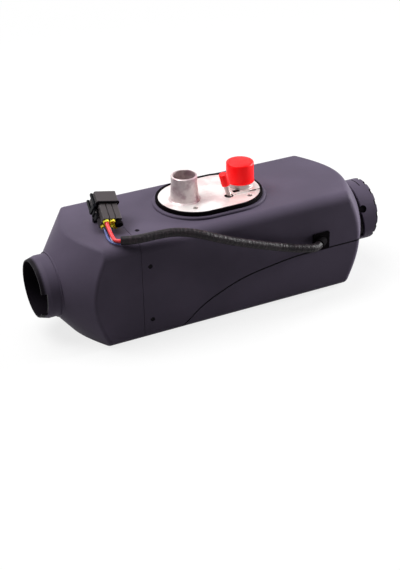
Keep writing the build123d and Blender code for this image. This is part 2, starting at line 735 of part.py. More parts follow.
def outlet_hood(outer, inner):
    """Hood that gathers the air into the outlet collar."""
    hood = (outer - inner) - beyond(SEAM_X)
    root = WALL + TONGUE_CLEARANCE + TONGUE_WALL
    hood += case_sleeve(WALL - EPS, root, SEAM_X - TONGUE_ROOT, SEAM_X)
    hood += case_sleeve(WALL + TONGUE_CLEARANCE, root, SEAM_X - EPS, SEAM_X + TONGUE_LENGTH)
    hood += peg_posts(PEG_R, root - EPS, PEG_DEPTH)
    hood += turned([
        (COLLAR_RIM_X, 0),
        (COLLAR_RIM_X, COLLAR_LEAD_R),
        (COLLAR_RIM_X + COLLAR_LEAD, COLLAR_R),
        (NECK_X - COLLAR_RING, COLLAR_R),
        (NECK_X - COLLAR_RING, COLLAR_RING_R),
        (NECK_X + WALL, COLLAR_RING_R),
        (NECK_X + WALL, 0),
    ])
    hood -= rod(COLLAR_BORE_R, COLLAR_RIM_X - WALL, NECK_X + 3 * WALL)
    notch_end = COLLAR_RIM_X + COLLAR_NOTCH_DEPTH
    notch = (COLLAR_NOTCH_FROM, COLLAR_NOTCH_TO)
    return hood - sector(COLLAR_R + WALL, COLLAR_RIM_X - WALL, notch_end, *notch)


def flange_seal():
    """Rubber seal in the gap between the plate and the shell's lip."""
    top = FLANGE_Z - SEAL_DROP
    outer = stadium(SEAL_WIDTH, CASE_HEIGHT, top)
    outer = chamfer(outer.edges().group_by(Axis.Z)[-1], SEAL_FALL)
    return outer - stadium(SEAL_CLEARANCE, 0, FLANGE_Z)


# ------------------------------------------------------ heat exchanger ----
def fins():
    """Fins round the exchanger, trimmed to leave air along the case."""
    start = CORE_X[0] + FIN_INSET
    end = BURNER_FLANGE_X - FIN_END_GAP
    root = AXIS_Z + CORE_R - CORE_WALL / 2
    half = FIN_THICKNESS / 2
    plate = block((start, end), (-half, half), (root, AXIS_Z + CASE_WIDTH))
    plane = Plane(origin=(start, 0, CASE_HEIGHT / 2), x_dir=(0, 1, 0), z_dir=(1, 0, 0))
    room = extrude(plane * case_section(WALL + FIN_CASE_GAP), end - start)
    return [fin & room for fin in ring_of(plate, FIN_COUNT, FIN_PHASE)]


def fuel_axis():
    """Direction of the leaning fuel pipe."""
    lean = radians(FUEL_PIPE_LEAN)
    return Vector(-sin(lean), 0, cos(lean))


def fuel_bar(radius, start, end):
    """Round bar along the fuel pipe, from one distance past the flange to another."""
    foot = Vector(FUEL_PIPE_X, FUEL_PIPE_Y, FLANGE_Z)
    plane = Plane(origin=foot + fuel_axis() * start, z_dir=fuel_axis())
    return extrude(plane * Circle(radius), end - start)


def heat_exchanger():
    """Finned casting with the burner's flange and the mounting plate."""
    core = rod(CORE_R, *CORE_X)
    core = fillet(core.edges().sort_by(Axis.X)[0], CORE_NOSE)
    room = rod(CORE_R - CORE_WALL, CORE_X[0] + CORE_WALL, CORE_X[1] + CORE_WALL)
    room = fillet(room.edges().sort_by(Axis.X)[0], CORE_NOSE - CORE_WALL)
    casting = core + fins()
    casting += rod(BURNER_FLANGE_R, BURNER_FLANGE_X, CORE_X[1])
    neck_x = (FLANGE_NECK_START, BURNER_FLANGE_X)
    neck_y = (-FLANGE_NECK_HALF, FLANGE_NECK_HALF)
    casting += block(neck_x, neck_y, (AXIS_Z + CORE_R / 2, PLATE_Z))
    casting += stadium(0, PLATE_Z, FLANGE_Z)
    casting -= room
    pad_half = PAD_HALF_WIDTH + PAD_CLEARANCE
    pocket_x = (PAD_X - PAD_CLEARANCE, END_X)
    casting -= block(pocket_x, (-pad_half, pad_half), (PLATE_Z - PAST, FLANGE_Z + PAST))
    for x in BOLT_X:
        for y in (-BOLT_Y, BOLT_Y):
            casting -= post(BOLT_R, x, y, PLATE_Z - PLATE_THICKNESS, FLANGE_Z + PAST)
    casting -= post(EXHAUST_BORE_R, EXHAUST_X, 0, AXIS_Z, FLANGE_Z + PAST)
    seat_r = EXHAUST_BORE_R + EXHAUST_SEAT_WALL + SHAFT_FIT
    casting -= post(seat_r, EXHAUST_X, 0, FLANGE_Z - EXHAUST_SEAT, FLANGE_Z + PAST)
    recess_r = EXHAUST_TIP_R + EXHAUST_TAPER + EXHAUST_FILLET + EXHAUST_RECESS_GAP
    casting -= post(recess_r, EXHAUST_X, 0, FLANGE_Z - EXHAUST_RECESS, FLANGE_Z + PAST)
    casting -= fuel_bar(FUEL_PIPE_SLOT_R, -2 * PLATE_THICKNESS, PLATE_THICKNESS)
    screw = rod(HEAD_SCREW_R, CORE_X[1] - HEAD_SCREW_GRIP, HEAD_X, -HEAD_SCREW_CIRCLE)
    return casting - [at_angle(screw, angle) for angle in SCREW_ANGLES]


def exhaust_spigot():
    """Tapered pipe stub pressed into the mounting plate."""
    seat_z = FLANGE_Z - EXHAUST_SEAT
    seat_r = EXHAUST_BORE_R + EXHAUST_SEAT_WALL
    foot_r = EXHAUST_TIP_R + EXHAUST_TAPER
    foot_z = FLANGE_Z - EXHAUST_RECESS
    outline = make_face(Polyline(
        (EXHAUST_BORE_R, seat_z),
        (seat_r, seat_z),
        (seat_r, foot_z),
        (foot_r + EXHAUST_FILLET, foot_z),
        (foot_r, foot_z + EXHAUST_FILLET),
        (EXHAUST_TIP_R, EXHAUST_TIP_Z - EXHAUST_LAND),
        (EXHAUST_TIP_R, EXHAUST_TIP_Z - EXHAUST_EDGE),
        (EXHAUST_TIP_R - EXHAUST_EDGE, EXHAUST_TIP_Z),
        (EXHAUST_BORE_R, EXHAUST_TIP_Z),
        close=True,
    ))
    return Pos(EXHAUST_X, 0, 0) * revolve(Plane.XZ * outline, axis=Axis.Z)


def burner_tube():
    """Flame tube with the rim that the head clamps."""
    start = CORE_X[0] + BURNER_TUBE_END_GAP
    flame_tube = tube(BURNER_TUBE_R, BURNER_TUBE_R - BURNER_TUBE_WALL, start, GASKET_X)
    return flame_tube + tube(BURNER_RIM_R, BURNER_TUBE_R - EPS, CORE_X[1], GASKET_X)


def burner_gasket():
    """Seal between the flame tube's rim and the burner head."""
    return tube(BURNER_RIM_R, BURNER_TUBE_R, GASKET_X, HEAD_X)


def glow_bar(radius, x0, x1):
    """Round bar on the glow plug's axis."""
    return rod(radius, x0, x1, GLOW_PLUG_OFFSET[0], AXIS_Z + GLOW_PLUG_OFFSET[1])


def burner_head():
    """Head plate with the swirl chamber, the air holes and the fuel boss."""
    head = rod(BURNER_FLANGE_R, HEAD_X, BLOWER_X)
    chamber_start = HEAD_X - HEAD_CHAMBER_LENGTH
    head += tube(HEAD_CHAMBER_R, HEAD_CHAMBER_R - HEAD_CHAMBER_WALL, chamber_start, HEAD_X + EPS)
    boss_y = (FUEL_PIPE_Y - FUEL_BOSS_HALF, FUEL_PIPE_Y + FUEL_BOSS_HALF)
    head += block((HEAD_X, BLOWER_X), boss_y, (AXIS_Z + CORE_R, FUEL_BOSS_Z))
    pipe_foot = FUEL_PIPE_X + FUEL_BOSS_DEPTH * tan(radians(FUEL_PIPE_LEAN))
    lip_x = (pipe_foot - FUEL_BOSS_HALF, BLOWER_X)
    head += block(lip_x, boss_y, (FUEL_BOSS_Z - FUEL_BOSS_LIP, FUEL_BOSS_Z))
    cut_x = (HEAD_X - PAST, BLOWER_X + PAST)
    hole = rod(HEAD_AIR_HOLE_R, *cut_x, -HEAD_AIR_CIRCLE)
    head -= ring_of(hole, HEAD_AIR_HOLES, HEAD_AIR_PHASE)
    head -= glow_bar(GLOW_PLUG_R + SCREW_CLEARANCE, *cut_x)
    screw = rod(HEAD_SCREW_R + SCREW_CLEARANCE, *cut_x, -HEAD_SCREW_CIRCLE)
    return head - [at_angle(screw, angle) for angle in SCREW_ANGLES]


def burner_screws():
    """Four screws that clamp the head to the exchanger's flange."""
    shank = rod(HEAD_SCREW_R, CORE_X[1] - HEAD_SCREW_GRIP, BLOWER_X, -HEAD_SCREW_CIRCLE)
    head = rod(HEAD_SCREW_HEAD_R, BLOWER_X, BLOWER_X + HEAD_SCREW_HEAD, -HEAD_SCREW_CIRCLE)
    screw = shank + head
    return Compound(children=[at_angle(screw, angle) for angle in SCREW_ANGLES])


def glow_plug():
    """Glow plug screwed through the head, with its hexagon on the air side."""
    plane = Plane(
        origin=(BLOWER_X, GLOW_PLUG_OFFSET[0], AXIS_Z + GLOW_PLUG_OFFSET[1]),
        x_dir=(0, 1, 0), z_dir=(1, 0, 0))
    hexagon = extrude(plane * RegularPolygon(GLOW_PLUG_HEX / 2, 6), GLOW_PLUG_HEX / 2)
    element = glow_bar(GLOW_PLUG_R, HEAD_X - GLOW_REACH, BLOWER_X)
    terminal_end = BLOWER_X + GLOW_PLUG_HEX / 2 + GLOW_TERMINAL
    return element + hexagon + glow_bar(GLOW_PLUG_R / 2, BLOWER_X, terminal_end)


def glow_plug_screen():
    """Wick sleeve round the glow plug's element."""
    start = HEAD_X - GLOW_REACH
    sleeve = glow_bar(GLOW_SCREEN_R, start, HEAD_X)
    return sleeve - glow_bar(GLOW_SCREEN_R - GLOW_SCREEN_WALL, start - PAST, HEAD_X + PAST)


def fuel_pipe():
    """Steel pipe from the head's boss out through the mounting plate."""
    reach = FUEL_PIPE_REACH
    pipe = fuel_bar(FUEL_PIPE_R, -2 * PLATE_THICKNESS, reach)
    pipe -= fuel_bar(FUEL_PIPE_BORE_R, reach - FUEL_BORE_DEPTH, reach + PAST)
    return pipe & block((-CASE_WIDTH, CASE_WIDTH), (-CASE_WIDTH, CASE_WIDTH), (FUEL_BOSS_Z, 2 * FLANGE_Z))


# -------------------------------------------------------------- blower ----
def blower_housing():
    """Casting with the air plenum, the impeller's chamber and the intake spigot."""
    casting = rod(BLOWER_R, BLOWER_X, BLOWER_END)
    stem_half = PAD_HALF_WIDTH - PAD_STEM_INSET
    stem_x = (BLOWER_X + PAD_STEM_INSET, SPIGOT_X + stem_half)
    stem = block(stem_x, (-stem_half, stem_half), (AXIS_Z + BLOWER_R / 2, FLANGE_Z))
    pad_y = (-PAD_HALF_WIDTH, PAD_HALF_WIDTH)
    pad = block((PAD_X, END_X), pad_y, (PLATE_Z, FLANGE_Z + PAD_RISE))
    casting += (stem + pad) & stadium(0, 0, 2 * FLANGE_Z)
    pocket = block(PAD_POCKET_X, PAD_POCKET_Y, (FLANGE_Z - PAD_RISE, 2 * FLANGE_Z))
    casting -= pocket
    spigot = post(SPIGOT_R, SPIGOT_X, 0, FLANGE_Z, SPIGOT_TIP_Z)
    casting += chamfer(spigot.edges().group_by(Axis.Z)[-1], EXHAUST_EDGE)
    casting -= rod(PLENUM_R, BLOWER_X - PAST, BLOWER_X + PLENUM_LENGTH)
    casting -= rod(CHAMBER_R, CHAMBER_X, BLOWER_END + PAST)
    casting -= post(SPIGOT_BORE_R, SPIGOT_X, 0, AXIS_Z + BLOWER_R / 2, SPIGOT_TIP_Z + PAST)
    casting -= rod(TRANSFER_PORT_R, BLOWER_X, CHAMBER_X + PAST, 0, AXIS_Z - PLENUM_R / 2)
    casting -= scallops(BLOWER_X - PAST, BLOWER_END + PAST)
    return casting - blower_screw_bars(BLOWER_SCREW_R, CHAMBER_X, BLOWER_END + PAST)


def blower_gasket():
    """Flat gasket under the blower's cover."""
    cut_x = (BLOWER_END - PAST, BLOWER_COVER_X + PAST)
    gasket = tube(BLOWER_R, CHAMBER_R, BLOWER_END, BLOWER_COVER_X) - scallops(*cut_x)
    return gasket - blower_screw_bars(BLOWER_SCREW_R + SCREW_CLEARANCE, *cut_x)


def blower_cover():
    """Cover that closes the impeller's chamber and carries the motor."""
    cut_x = (BLOWER_COVER_X - PAST, MOTOR_START + PAST)
    cover = rod(BLOWER_R, BLOWER_COVER_X, MOTOR_BOSS_X) - scallops(*cut_x)
    cover -= blower_screw_bars(BLOWER_SCREW_R + SCREW_CLEARANCE, *cut_x)
    cover += rod(MOTOR_BOSS_R, BLOWER_COVER_X, MOTOR_START)
    cover -= rod(SHAFT_R + SHAFT_PASS, *cut_x)
    return cover - motor_bolt_bars(MOTOR_BOLT_R, MOTOR_START - MOTOR_BOLT_GRIP, cut_x[1])


def blower_screws():
    """Four screws that hold the blower's cover."""
    shanks = blower_screw_bars(BLOWER_SCREW_R, CHAMBER_X + BLOWER_SCREW_R, MOTOR_BOSS_X)
    heads = blower_screw_bars(BLOWER_SCREW_HEAD_R, MOTOR_BOSS_X, MOTOR_BOSS_X + BLOWER_SCREW_R)
    return Compound(children=[shank + head for shank, head in zip(shanks, heads)])


def combustion_impeller():
    """Impeller with straight vanes on a disc."""
    hub = rod(IMPELLER_HUB_R, IMPELLER_START, IMPELLER_END)
    disc_start = IMPELLER_END - IMPELLER_DISC
    disc = rod(IMPELLER_R, disc_start, IMPELLER_END)
    root = AXIS_Z + IMPELLER_R - IMPELLER_VANE_LENGTH
    tip = AXIS_Z + IMPELLER_R - IMPELLER_VANE_INSET
    half = IMPELLER_VANE / 2
    vane = block((IMPELLER_START, disc_start + EPS), (-half, half), (root, tip))
    wheel = hub + disc + ring_of(vane, IMPELLER_VANES)
    return wheel - rod(SHAFT_R + SHAFT_FIT, IMPELLER_START - PAST, IMPELLER_END + PAST)


# --------------------------------------------------------------- motor ----
def motor_bolt_bars(radius, x0, x1):
    """The two long motor bolts' places, as bars."""
    bar = rod(radius, x0, x1, 0, AXIS_Z + MOTOR_BOLT_CIRCLE)
    return ring_of(bar, 2)


def motor_can():
    """Steel can with the front bearing's cup."""
    can = rod(MOTOR_R, MOTOR_START, MOTOR_END) - rod(CAN_BORE_R, MOTOR_START + MOTOR_WALL, MOTOR_END + PAST)
    can += rod(BEARING_R + BEARING_CUP, MOTOR_START, MOTOR_START + MOTOR_WALL / 2 + BEARING_WIDTH)
    can -= rod(BEARING_R, MOTOR_START + MOTOR_WALL / 2, MOTOR_END)
    can -= rod(SHAFT_R + SHAFT_PASS, MOTOR_START - PAST, MOTOR_END)
    cut_x = (MOTOR_START - PAST, MOTOR_START + 2 * MOTOR_WALL)
    return can - motor_bolt_bars(MOTOR_BOLT_R + SCREW_CLEARANCE, *cut_x)


def motor_magnets():
    """Two curved magnets inside the can."""
    ring = tube(CAN_BORE_R, MAGNET_R, *MAGNET_X)
    wedge = sector(MOTOR_R, *MAGNET_X, -MAGNET_HALF_ANGLE, MAGNET_HALF_ANGLE)
    return Compound(children=ring_of(ring & wedge, 2))


def motor_armature():
    """Slotted armature with its commutator."""
    core = rod(ARMATURE_R, *MAGNET_X)
    slot = block(
        (MAGNET_X[0] - PAST, MAGNET_X[1] + PAST),
        (-ARMATURE_SLOT_WIDTH / 2, ARMATURE_SLOT_WIDTH / 2),
        (AXIS_Z + ARMATURE_R - ARMATURE_SLOT_DEPTH, AXIS_Z + MOTOR_R))
    core -= ring_of(slot, ARMATURE_SLOTS)
    commutator = rod(BEARING_R, MAGNET_X[0] - COMMUTATOR, MAGNET_X[0] + EPS)
    return core + commutator - rod(SHAFT_R + SHAFT_FIT, MOTOR_START, MOTOR_END)


def motor_end_cap():
    """End cap with the rear bearing's cup."""
    cap = rod(MOTOR_R, MOTOR_END, MOTOR_END + MOTOR_CAP)
    cap += rod(BEARING_R + BEARING_CUP, MOTOR_END - BEARING_WIDTH + MOTOR_CAP / 2, MOTOR_END + EPS)
    cap -= rod(BEARING_R, MOTOR_END - MOTOR_LENGTH, MOTOR_END + MOTOR_CAP / 2)
    cap -= rod(SHAFT_R + SHAFT_PASS, MOTOR_END, MOTOR_END + 2 * MOTOR_CAP)
    return cap - motor_bolt_bars(MOTOR_BOLT_R + SCREW_CLEARANCE, MOTOR_END - PAST, MOTOR_END + 2 * MOTOR_CAP)


def motor_bearings():
    """Ball bearings in the can and in the end cap, as plain rings."""
    front = MOTOR_START + MOTOR_WALL / 2
    rear = MOTOR_END + MOTOR_CAP / 2 - BEARING_WIDTH
    bore = SHAFT_R + BEARING_GAP
    return Compound(children=[tube(BEARING_R, bore, x, x + BEARING_WIDTH) for x in (front, rear)])


def motor_bolts():
    """Two long bolts from the end cap into the blower's cover."""
    head_x = MOTOR_END + MOTOR_CAP
    shanks = motor_bolt_bars(MOTOR_BOLT_R, MOTOR_START - MOTOR_BOLT_GRIP, head_x)
    heads = motor_bolt_bars(MOTOR_BOLT_HEAD_R, head_x, head_x + MOTOR_BOLT_HEAD)
    return Compound(children=[shank + head for shank, head in zip(shanks, heads)])


def motor_shaft():
    """Shaft that carries the impeller, the armature and the fan."""
    return rod(SHAFT_R, IMPELLER_START - SHAFT_TAIL, FAN_END + FAN_NUT + PAST)


def fan_blade():
    """Cambered blade, drawn above the axis and trimmed to the wheel."""
    x0 = FAN_START + FAN_BLADE_EDGE
    x1 = FAN_END - FAN_BLADE_EDGE
    y0 = -FAN_SWEEP / 2
    y1 = FAN_SWEEP / 2
    middle = ((x0 + x1) / 2 - FAN_CAMBER, FAN_CAMBER)
    thick = FAN_BLADE_THICKNESS
    lower = ThreePointArc((x0, y0), middle, (x1, y1))
    upper = ThreePointArc((x1, y1 + thick), (middle[0], middle[1] + thick), (x0, y0 + thick))
    sides = [Line((x1, y1), (x1, y1 + thick)), Line((x0, y0 + thick), (x0, y0))]
    face = make_face(Curve() + [lower, upper, *sides])
    root = FAN_HUB_R - FAN_NOSE_R
    blade = extrude(Plane.XY.offset(AXIS_Z + root) * face, FAN_R)
    return blade & rod(FAN_R, FAN_START, FAN_END)


def fan_wheel():
    """Axial fan with a domed hub."""
    hub = rod(FAN_HUB_R, FAN_START, FAN_END)
    hub = fillet(hub.edges().sort_by(Axis.X)[-1], FAN_NOSE_R)
    wheel = hub + ring_of(fan_blade(), FAN_BLADES, FAN_PHASE)
    return wheel - rod(SHAFT_R + SHAFT_FIT, FAN_START - PAST, FAN_END + PAST)


def fan_nut():
    """Nut that holds the fan on the shaft."""
    plane = Plane(origin=(FAN_END, 0, AXIS_Z), x_dir=(0, 1, 0), z_dir=(1, 0, 0))
    nut = extrude(plane * RegularPolygon(FAN_NUT_R, 6), FAN_NUT)
    return nut - rod(SHAFT_R + SHAFT_FIT, FAN_END - PAST, FAN_END + FAN_NUT + PAST)


def fan_shroud():
    """Inlet ring round the fan, seated on the mouth's floor."""
    end = GROOVE_FLOOR_X - WALL - SHROUD_GAP
    start = end - SHROUD_LENGTH
    outer = FAN_R + SHROUD_CLEARANCE + SHROUD_WALL
    bore = FAN_R + SHROUD_CLEARANCE
    return turned([
        (start, bore),
        (end - 2 * SHROUD_WALL, bore),
        (end - SHROUD_WALL, SHROUD_THROAT_R),
        (end, SHROUD_THROAT_R),
        (end, outer),
        (start, outer),
    ])


# ------------------------------------------------------------- control ----
def control_box():
    """Tray of the control unit, on four feet."""
    half = CONTROL_HALF_WIDTH
    tray = block(CONTROL_X, (-half, half), CONTROL_Z)
    inner_x = (CONTROL_X[0] + CONTROL_WALL, CONTROL_X[1] - CONTROL_WALL)
    inner_y = (-half + CONTROL_WALL, half - CONTROL_WALL)
    tray = fillet(tray.edges().filter_by(Axis.Z), CONTROL_CORNER_R)
    tray -= block(inner_x, inner_y, (CONTROL_Z[0] + CONTROL_WALL, CONTROL_Z[1] + PAST))
    inset = CONTROL_FOOT_R + CONTROL_WALL
    for x in (CONTROL_X[0] + inset, CONTROL_X[1] - inset):
        for y in (-half + inset, half - inset):
            tray += post(CONTROL_FOOT_R, x, y, WALL, CONTROL_Z[0])
            tray += post(BOARD_POST_R, x, y, CONTROL_Z[0], CONTROL_Z[0] + BOARD_HEIGHT)
    return tray


def control_lid():
    """Lid of the control unit."""
    half = CONTROL_HALF_WIDTH
    lid = block(CONTROL_X, (-half, half), (CONTROL_Z[1], CONTROL_TOP_Z))
    return fillet(lid.edges().filter_by(Axis.Z), CONTROL_CORNER_R)


def circuit_board():
    """Circuit board with its tall parts."""
    z0 = CONTROL_Z[0] + BOARD_HEIGHT
    z1 = z0 + BOARD_THICKNESS
    inset = CONTROL_WALL + BOARD_CLEARANCE
    x0, x1 = CONTROL_X[0] + inset, CONTROL_X[1] - inset
    half = CONTROL_HALF_WIDTH - inset
    board = block((x0, x1), (-half, half), (z0, z1))
    middle = (x0 + x1) / 2
    for y in (-half / 2, 0, half / 2):
        board += post(CAPACITOR_R, middle + CAPACITOR_R, y, z1, z1 + CAPACITOR_HEIGHT)
    chip = CAPACITOR_R
    board += block((x0 + chip, x0 + 3 * chip), (-2 * chip, 2 * chip), (z1, z1 + BOARD_THICKNESS))
    return board + block((x1 - 2 * chip, x1), (-half, -half + 4 * chip), (z1, z1 + CAPACITOR_HEIGHT))


def overheat_sensor():
    """Overheat sensor on the exchanger's nose."""
    return rod(SENSOR_R, CORE_X[0] - SENSOR_THICKNESS, CORE_X[0])


def sensor_clip():
    """Spring strap that presses the sensor to the nose."""
    back = CORE_X[0] - SENSOR_THICKNESS
    reach = 2 * SENSOR_R
    wide = (AXIS_Z - SENSOR_R / 2, AXIS_Z + SENSOR_R / 2)
    strap = block((back - SENSOR_STRAP, back), (-reach, reach), wide)
    for side in (-1, 1):
        leg = sorted((side * reach, side * (reach - SENSOR_STRAP)))
        strap += block((back - SENSOR_STRAP, CORE_X[0]), leg, wide)
    return strap


# -------------------------------------------------------- intake grille ----
def grille_ramp():
    """Cut that sets the cap's foot back along a slant, below the notch."""
    low, high = (AXIS_Z + GRILLE_R * sin(radians(angle)) for angle in GRILLE_RAMP_ANGLES)
    start = GRILLE_X[0] - PAST
    near, far = (GRILLE_X[0] + reach for reach in GRILLE_RAMP)
    corners = ((start, high), (near, high), (far, low), (start, low))
    plane = Plane(origin=(0, 0, 0), x_dir=(1, 0, 0), z_dir=(0, -1, 0))
    wedge = extrude(plane * make_face(Polyline(*corners, close=True)), GRILLE_R + PAST)
    return wedge & sector(GRILLE_R + 2 * PAST, start, far, *GRILLE_RAMP_ANGLES)


def bayonet_slots():
    """Round notch, way in and inner channel for each lug."""
    slack = GRILLE_CHANNEL_SLACK
    cuts = []
    channel_x = (LUG_X[0] - slack, LUG_X[1] + slack)
    way_x = (GRILLE_X[0] - PAST, LUG_X[1] + slack)
    spread = LUG_HALF_ANGLE + LUG_SLACK_ANGLE
    for angle in LUG_ANGLES:
        middle = angle + GRILLE_TWIST
        for xs, first in ((channel_x, angle), (way_x, middle)):
            ring = tube(MOUTH_R + LUG_HEIGHT + slack, MOUTH_R - PAST, *xs)
            cuts.append(ring & sector(GRILLE_R, *xs, first - spread, middle + spread))
        inside = Plane(origin=(GRILLE_X[0] + GRILLE_NOTCH_X, PAST - MOUTH_R, AXIS_Z), z_dir=(0, -1, 0))
        notch = extrude(inside * Circle(GRILLE_NOTCH_R), 2 * PAST + GRILLE_R - MOUTH_R)
        cuts.append(at_angle(notch, middle))
    return cuts


def rim_pocket():
    """Pocket in the cap's rim at -Y."""
    start = GRILLE_X[1] - GRILLE_POCKET_LENGTH
    ring = tube(GRILLE_R + PAST, GRILLE_R - GRILLE_POCKET_DEPTH, start, GRILLE_X[1] + PAST)
    half = GRILLE_POCKET_HALF_ANGLE
    return ring & sector(GRILLE_R + 2 * PAST, start, GRILLE_X[1] + PAST, -half, half)


def intake_grille():
    """Bayonet grille with a toothed edge over the air intake."""
    start, end = GRILLE_X
    face_x = end - GRILLE_FACE
    cap = rod(GRILLE_R, start, end)
    cap = chamfer(cap.edges().sort_by(Axis.X)[-1], GRILLE_EDGE)
    cap = chamfer(cap.edges().sort_by(Axis.X)[0], GRILLE_FOOT_EDGE)
    cap -= rod(MOUTH_R + GRILLE_CLEARANCE, start - PAST, face_x)
    half = GRILLE_SLOT_WIDTH / 2
    slot = block((face_x - PAST, end + PAST), (-GRILLE_SLOT_R, -GRILLE_HUB_R), (AXIS_Z - half, AXIS_Z + half))
    cap -= ring_of(slot, GRILLE_SLOTS, GRILLE_SLOT_PHASE)
    cap += tube(GRILLE_RING_R[1], GRILLE_RING_R[0], face_x, end - GRILLE_FACE / 4)
    cap -= ring_of(rim_pocket(), GRILLE_SLOTS, GRILLE_SLOT_PHASE)
    cap -= bayonet_slots()
    groove_x = (start + GRILLE_GROOVE_START, start + GRILLE_GROOVE_START + GRILLE_GROOVE)
    groove = tube(GRILLE_R + PAST, GRILLE_R - GRILLE_GROOVE, *groove_x)
    cap -= groove & sector(GRILLE_R + 2 * PAST, *groove_x, *GRILLE_GROOVE_ANGLES)
    return cap - grille_ramp()


# ----------------------------------------------------- red transport caps ----
def transport_cap():
    """Red cap over the combustion air spigot."""
    foot_z = CAP_TOP_Z - CAP_LENGTH
    bore = SPIGOT_R + CAP_CLEARANCE
    cap = post(bore + CAP_WALL, SPIGOT_X, 0, foot_z, CAP_TOP_Z)
    cap = fillet(cap.edges().group_by(Axis.Z)[-1], CAP_EDGE_R)
    return cap - post(bore, SPIGOT_X, 0, foot_z - PAST, CAP_TOP_Z - CAP_TOP_THICKNESS)


def fuel_pipe_cap():
    """Red cap over the fuel pipe's end."""
    top = FUEL_PIPE_REACH + PIPE_CAP_CLEARANCE + PIPE_CAP_TOP
    foot = top - PIPE_CAP_LENGTH
    cap = fuel_bar(PIPE_CAP_R, foot, top)
    rim = cap.edges().sort_by(Axis.Z)[-1]
    cap = fillet(rim, CAP_EDGE_R)
    return cap - fuel_bar(FUEL_PIPE_R + PIPE_CAP_CLEARANCE, foot - PAST, top - PIPE_CAP_TOP)


# ------------------------------------------------- harness and connector ----
def cord_tube(points, radius, name):
    """Tube along straight runs joined by arcs as large as the runs allow."""
    places = [Vector(*point) for point in points]
    runs = [(b - a).length for a, b in zip(places, places[1:])]
    radii = []
    for before, after, a, b, c in zip(runs, runs[1:], places, places[1:], places[2:]):
        turn = (b - a).get_angle(c - b)
        radii.append(ARC_SHARE * min(before, after) / tan(radians(turn) / 2))
    path = FilletPolyline(*places, radius=radii)
    start = Plane(origin=places[0], z_dir=(places[1] - places[0]))
    cord = sweep(start * Circle(radius), path=path)
    section = pi * radius ** 2
    shown = ", ".join(f"{r:.0f}" for r in radii)
    print(f"{name}: length {path.length:.1f}, radii {shown}")
    print(f"{name}: volume over section times length {cord.volume / (section * path.length):.4f}")
    return cord


def cable_exit():
    """Plane at the grommet's boss, where the cable starts."""
    start, after = (Vector(*point) for point in CABLE_ROUTE[:2])
    return Plane(origin=start, z_dir=after - start)


def harness_grommet():
    """Square rubber grommet with a raised ring and a slanted boss."""
    far = NEAR_Y + WALL
    lip_start = NEAR_Y - GROMMET_CLEARANCE - GROMMET_LIP
    plug = grommet_square(GROMMET_HALF, lip_start, NEAR_Y - GROMMET_CLEARANCE)
    plug += grommet_square(GROMMET_NECK_HALF, lip_start + EPS, far + GROMMET_CLEARANCE + EPS)
    plug += grommet_square(GROMMET_HALF, far + GROMMET_CLEARANCE, far + GROMMET_CLEARANCE + GROMMET_LIP)
    face = Plane(origin=(GROMMET_X, lip_start + EPS, GROMMET_Z), z_dir=(0, -1, 0))
    ring = extrude(face * Circle(GROMMET_RING_R), GROMMET_RING)
    plug += ring
    boss = extrude(cable_exit() * Circle(GROMMET_BOSS_R), -GROMMET_BOSS)
    boss &= block((0, END_X), (-CASE_WIDTH, far), (0, CASE_HEIGHT))
    return plug + boss


def inner_lead():
    """Lead from the grommet down to the control unit, inside the case."""
    start_y = NEAR_Y + WALL + GROMMET_CLEARANCE + GROMMET_LIP
    places = [(GROMMET_X, start_y, GROMMET_Z)]
    places += [(GROMMET_X + x, y, z) for x, y, z in LEAD_DROP]
    places += [(GROMMET_X, LEAD_END_Y, CONTROL_TOP_Z + z) for z in (2 * LEAD_R, 0)]
    return cord_tube(places, LEAD_R, "inner_lead")


def connector_frame():
    """Place and pose of the connector on top of the hood."""
    turn = Rot(0, 0, -CONNECTOR_TURN)
    return Pos(*CONNECTOR_FOOT) * turn * Rot(CONNECTOR_PITCH, 0, 0) * Rot(0, CONNECTOR_ROLL, 0)


def connector_block(grow, y0, y1, round_r):
    """Block along the connector, grown past the housing's section."""
    half = CONNECTOR_WIDTH / 2 + grow
    piece = block((-half, half), (y0, y1), (-grow, CONNECTOR_THICKNESS + grow))
    return fillet(piece.edges().filter_by(Axis.Y), round_r)


def seal_places():
    """Column and row of each sealed wire, seen from behind."""
    return [
        (column, row)
        for row in range(len(ROW_HEIGHTS))
        for column in range(CONNECTOR_COLUMNS)
        if (column, row) != (PLUGGED_COLUMN, PLUGGED_ROW)
    ]


def place_xz(column, row):
    """Middle of a cavity in the connector's own frame."""
    x = (column - (CONNECTOR_COLUMNS - 1) / 2) * COLUMN_PITCH
    return x, ROW_HEIGHTS[row]


def rear_bar(radius, column, row, y0, y1):
    """Round bar along a cavity of the connector."""
    x, z = place_xz(column, row)
    plane = Plane(origin=(x, y0, z), x_dir=(1, 0, 0), z_dir=(0, 1, 0))
    return extrude(plane * Circle(radius), y1 - y0)


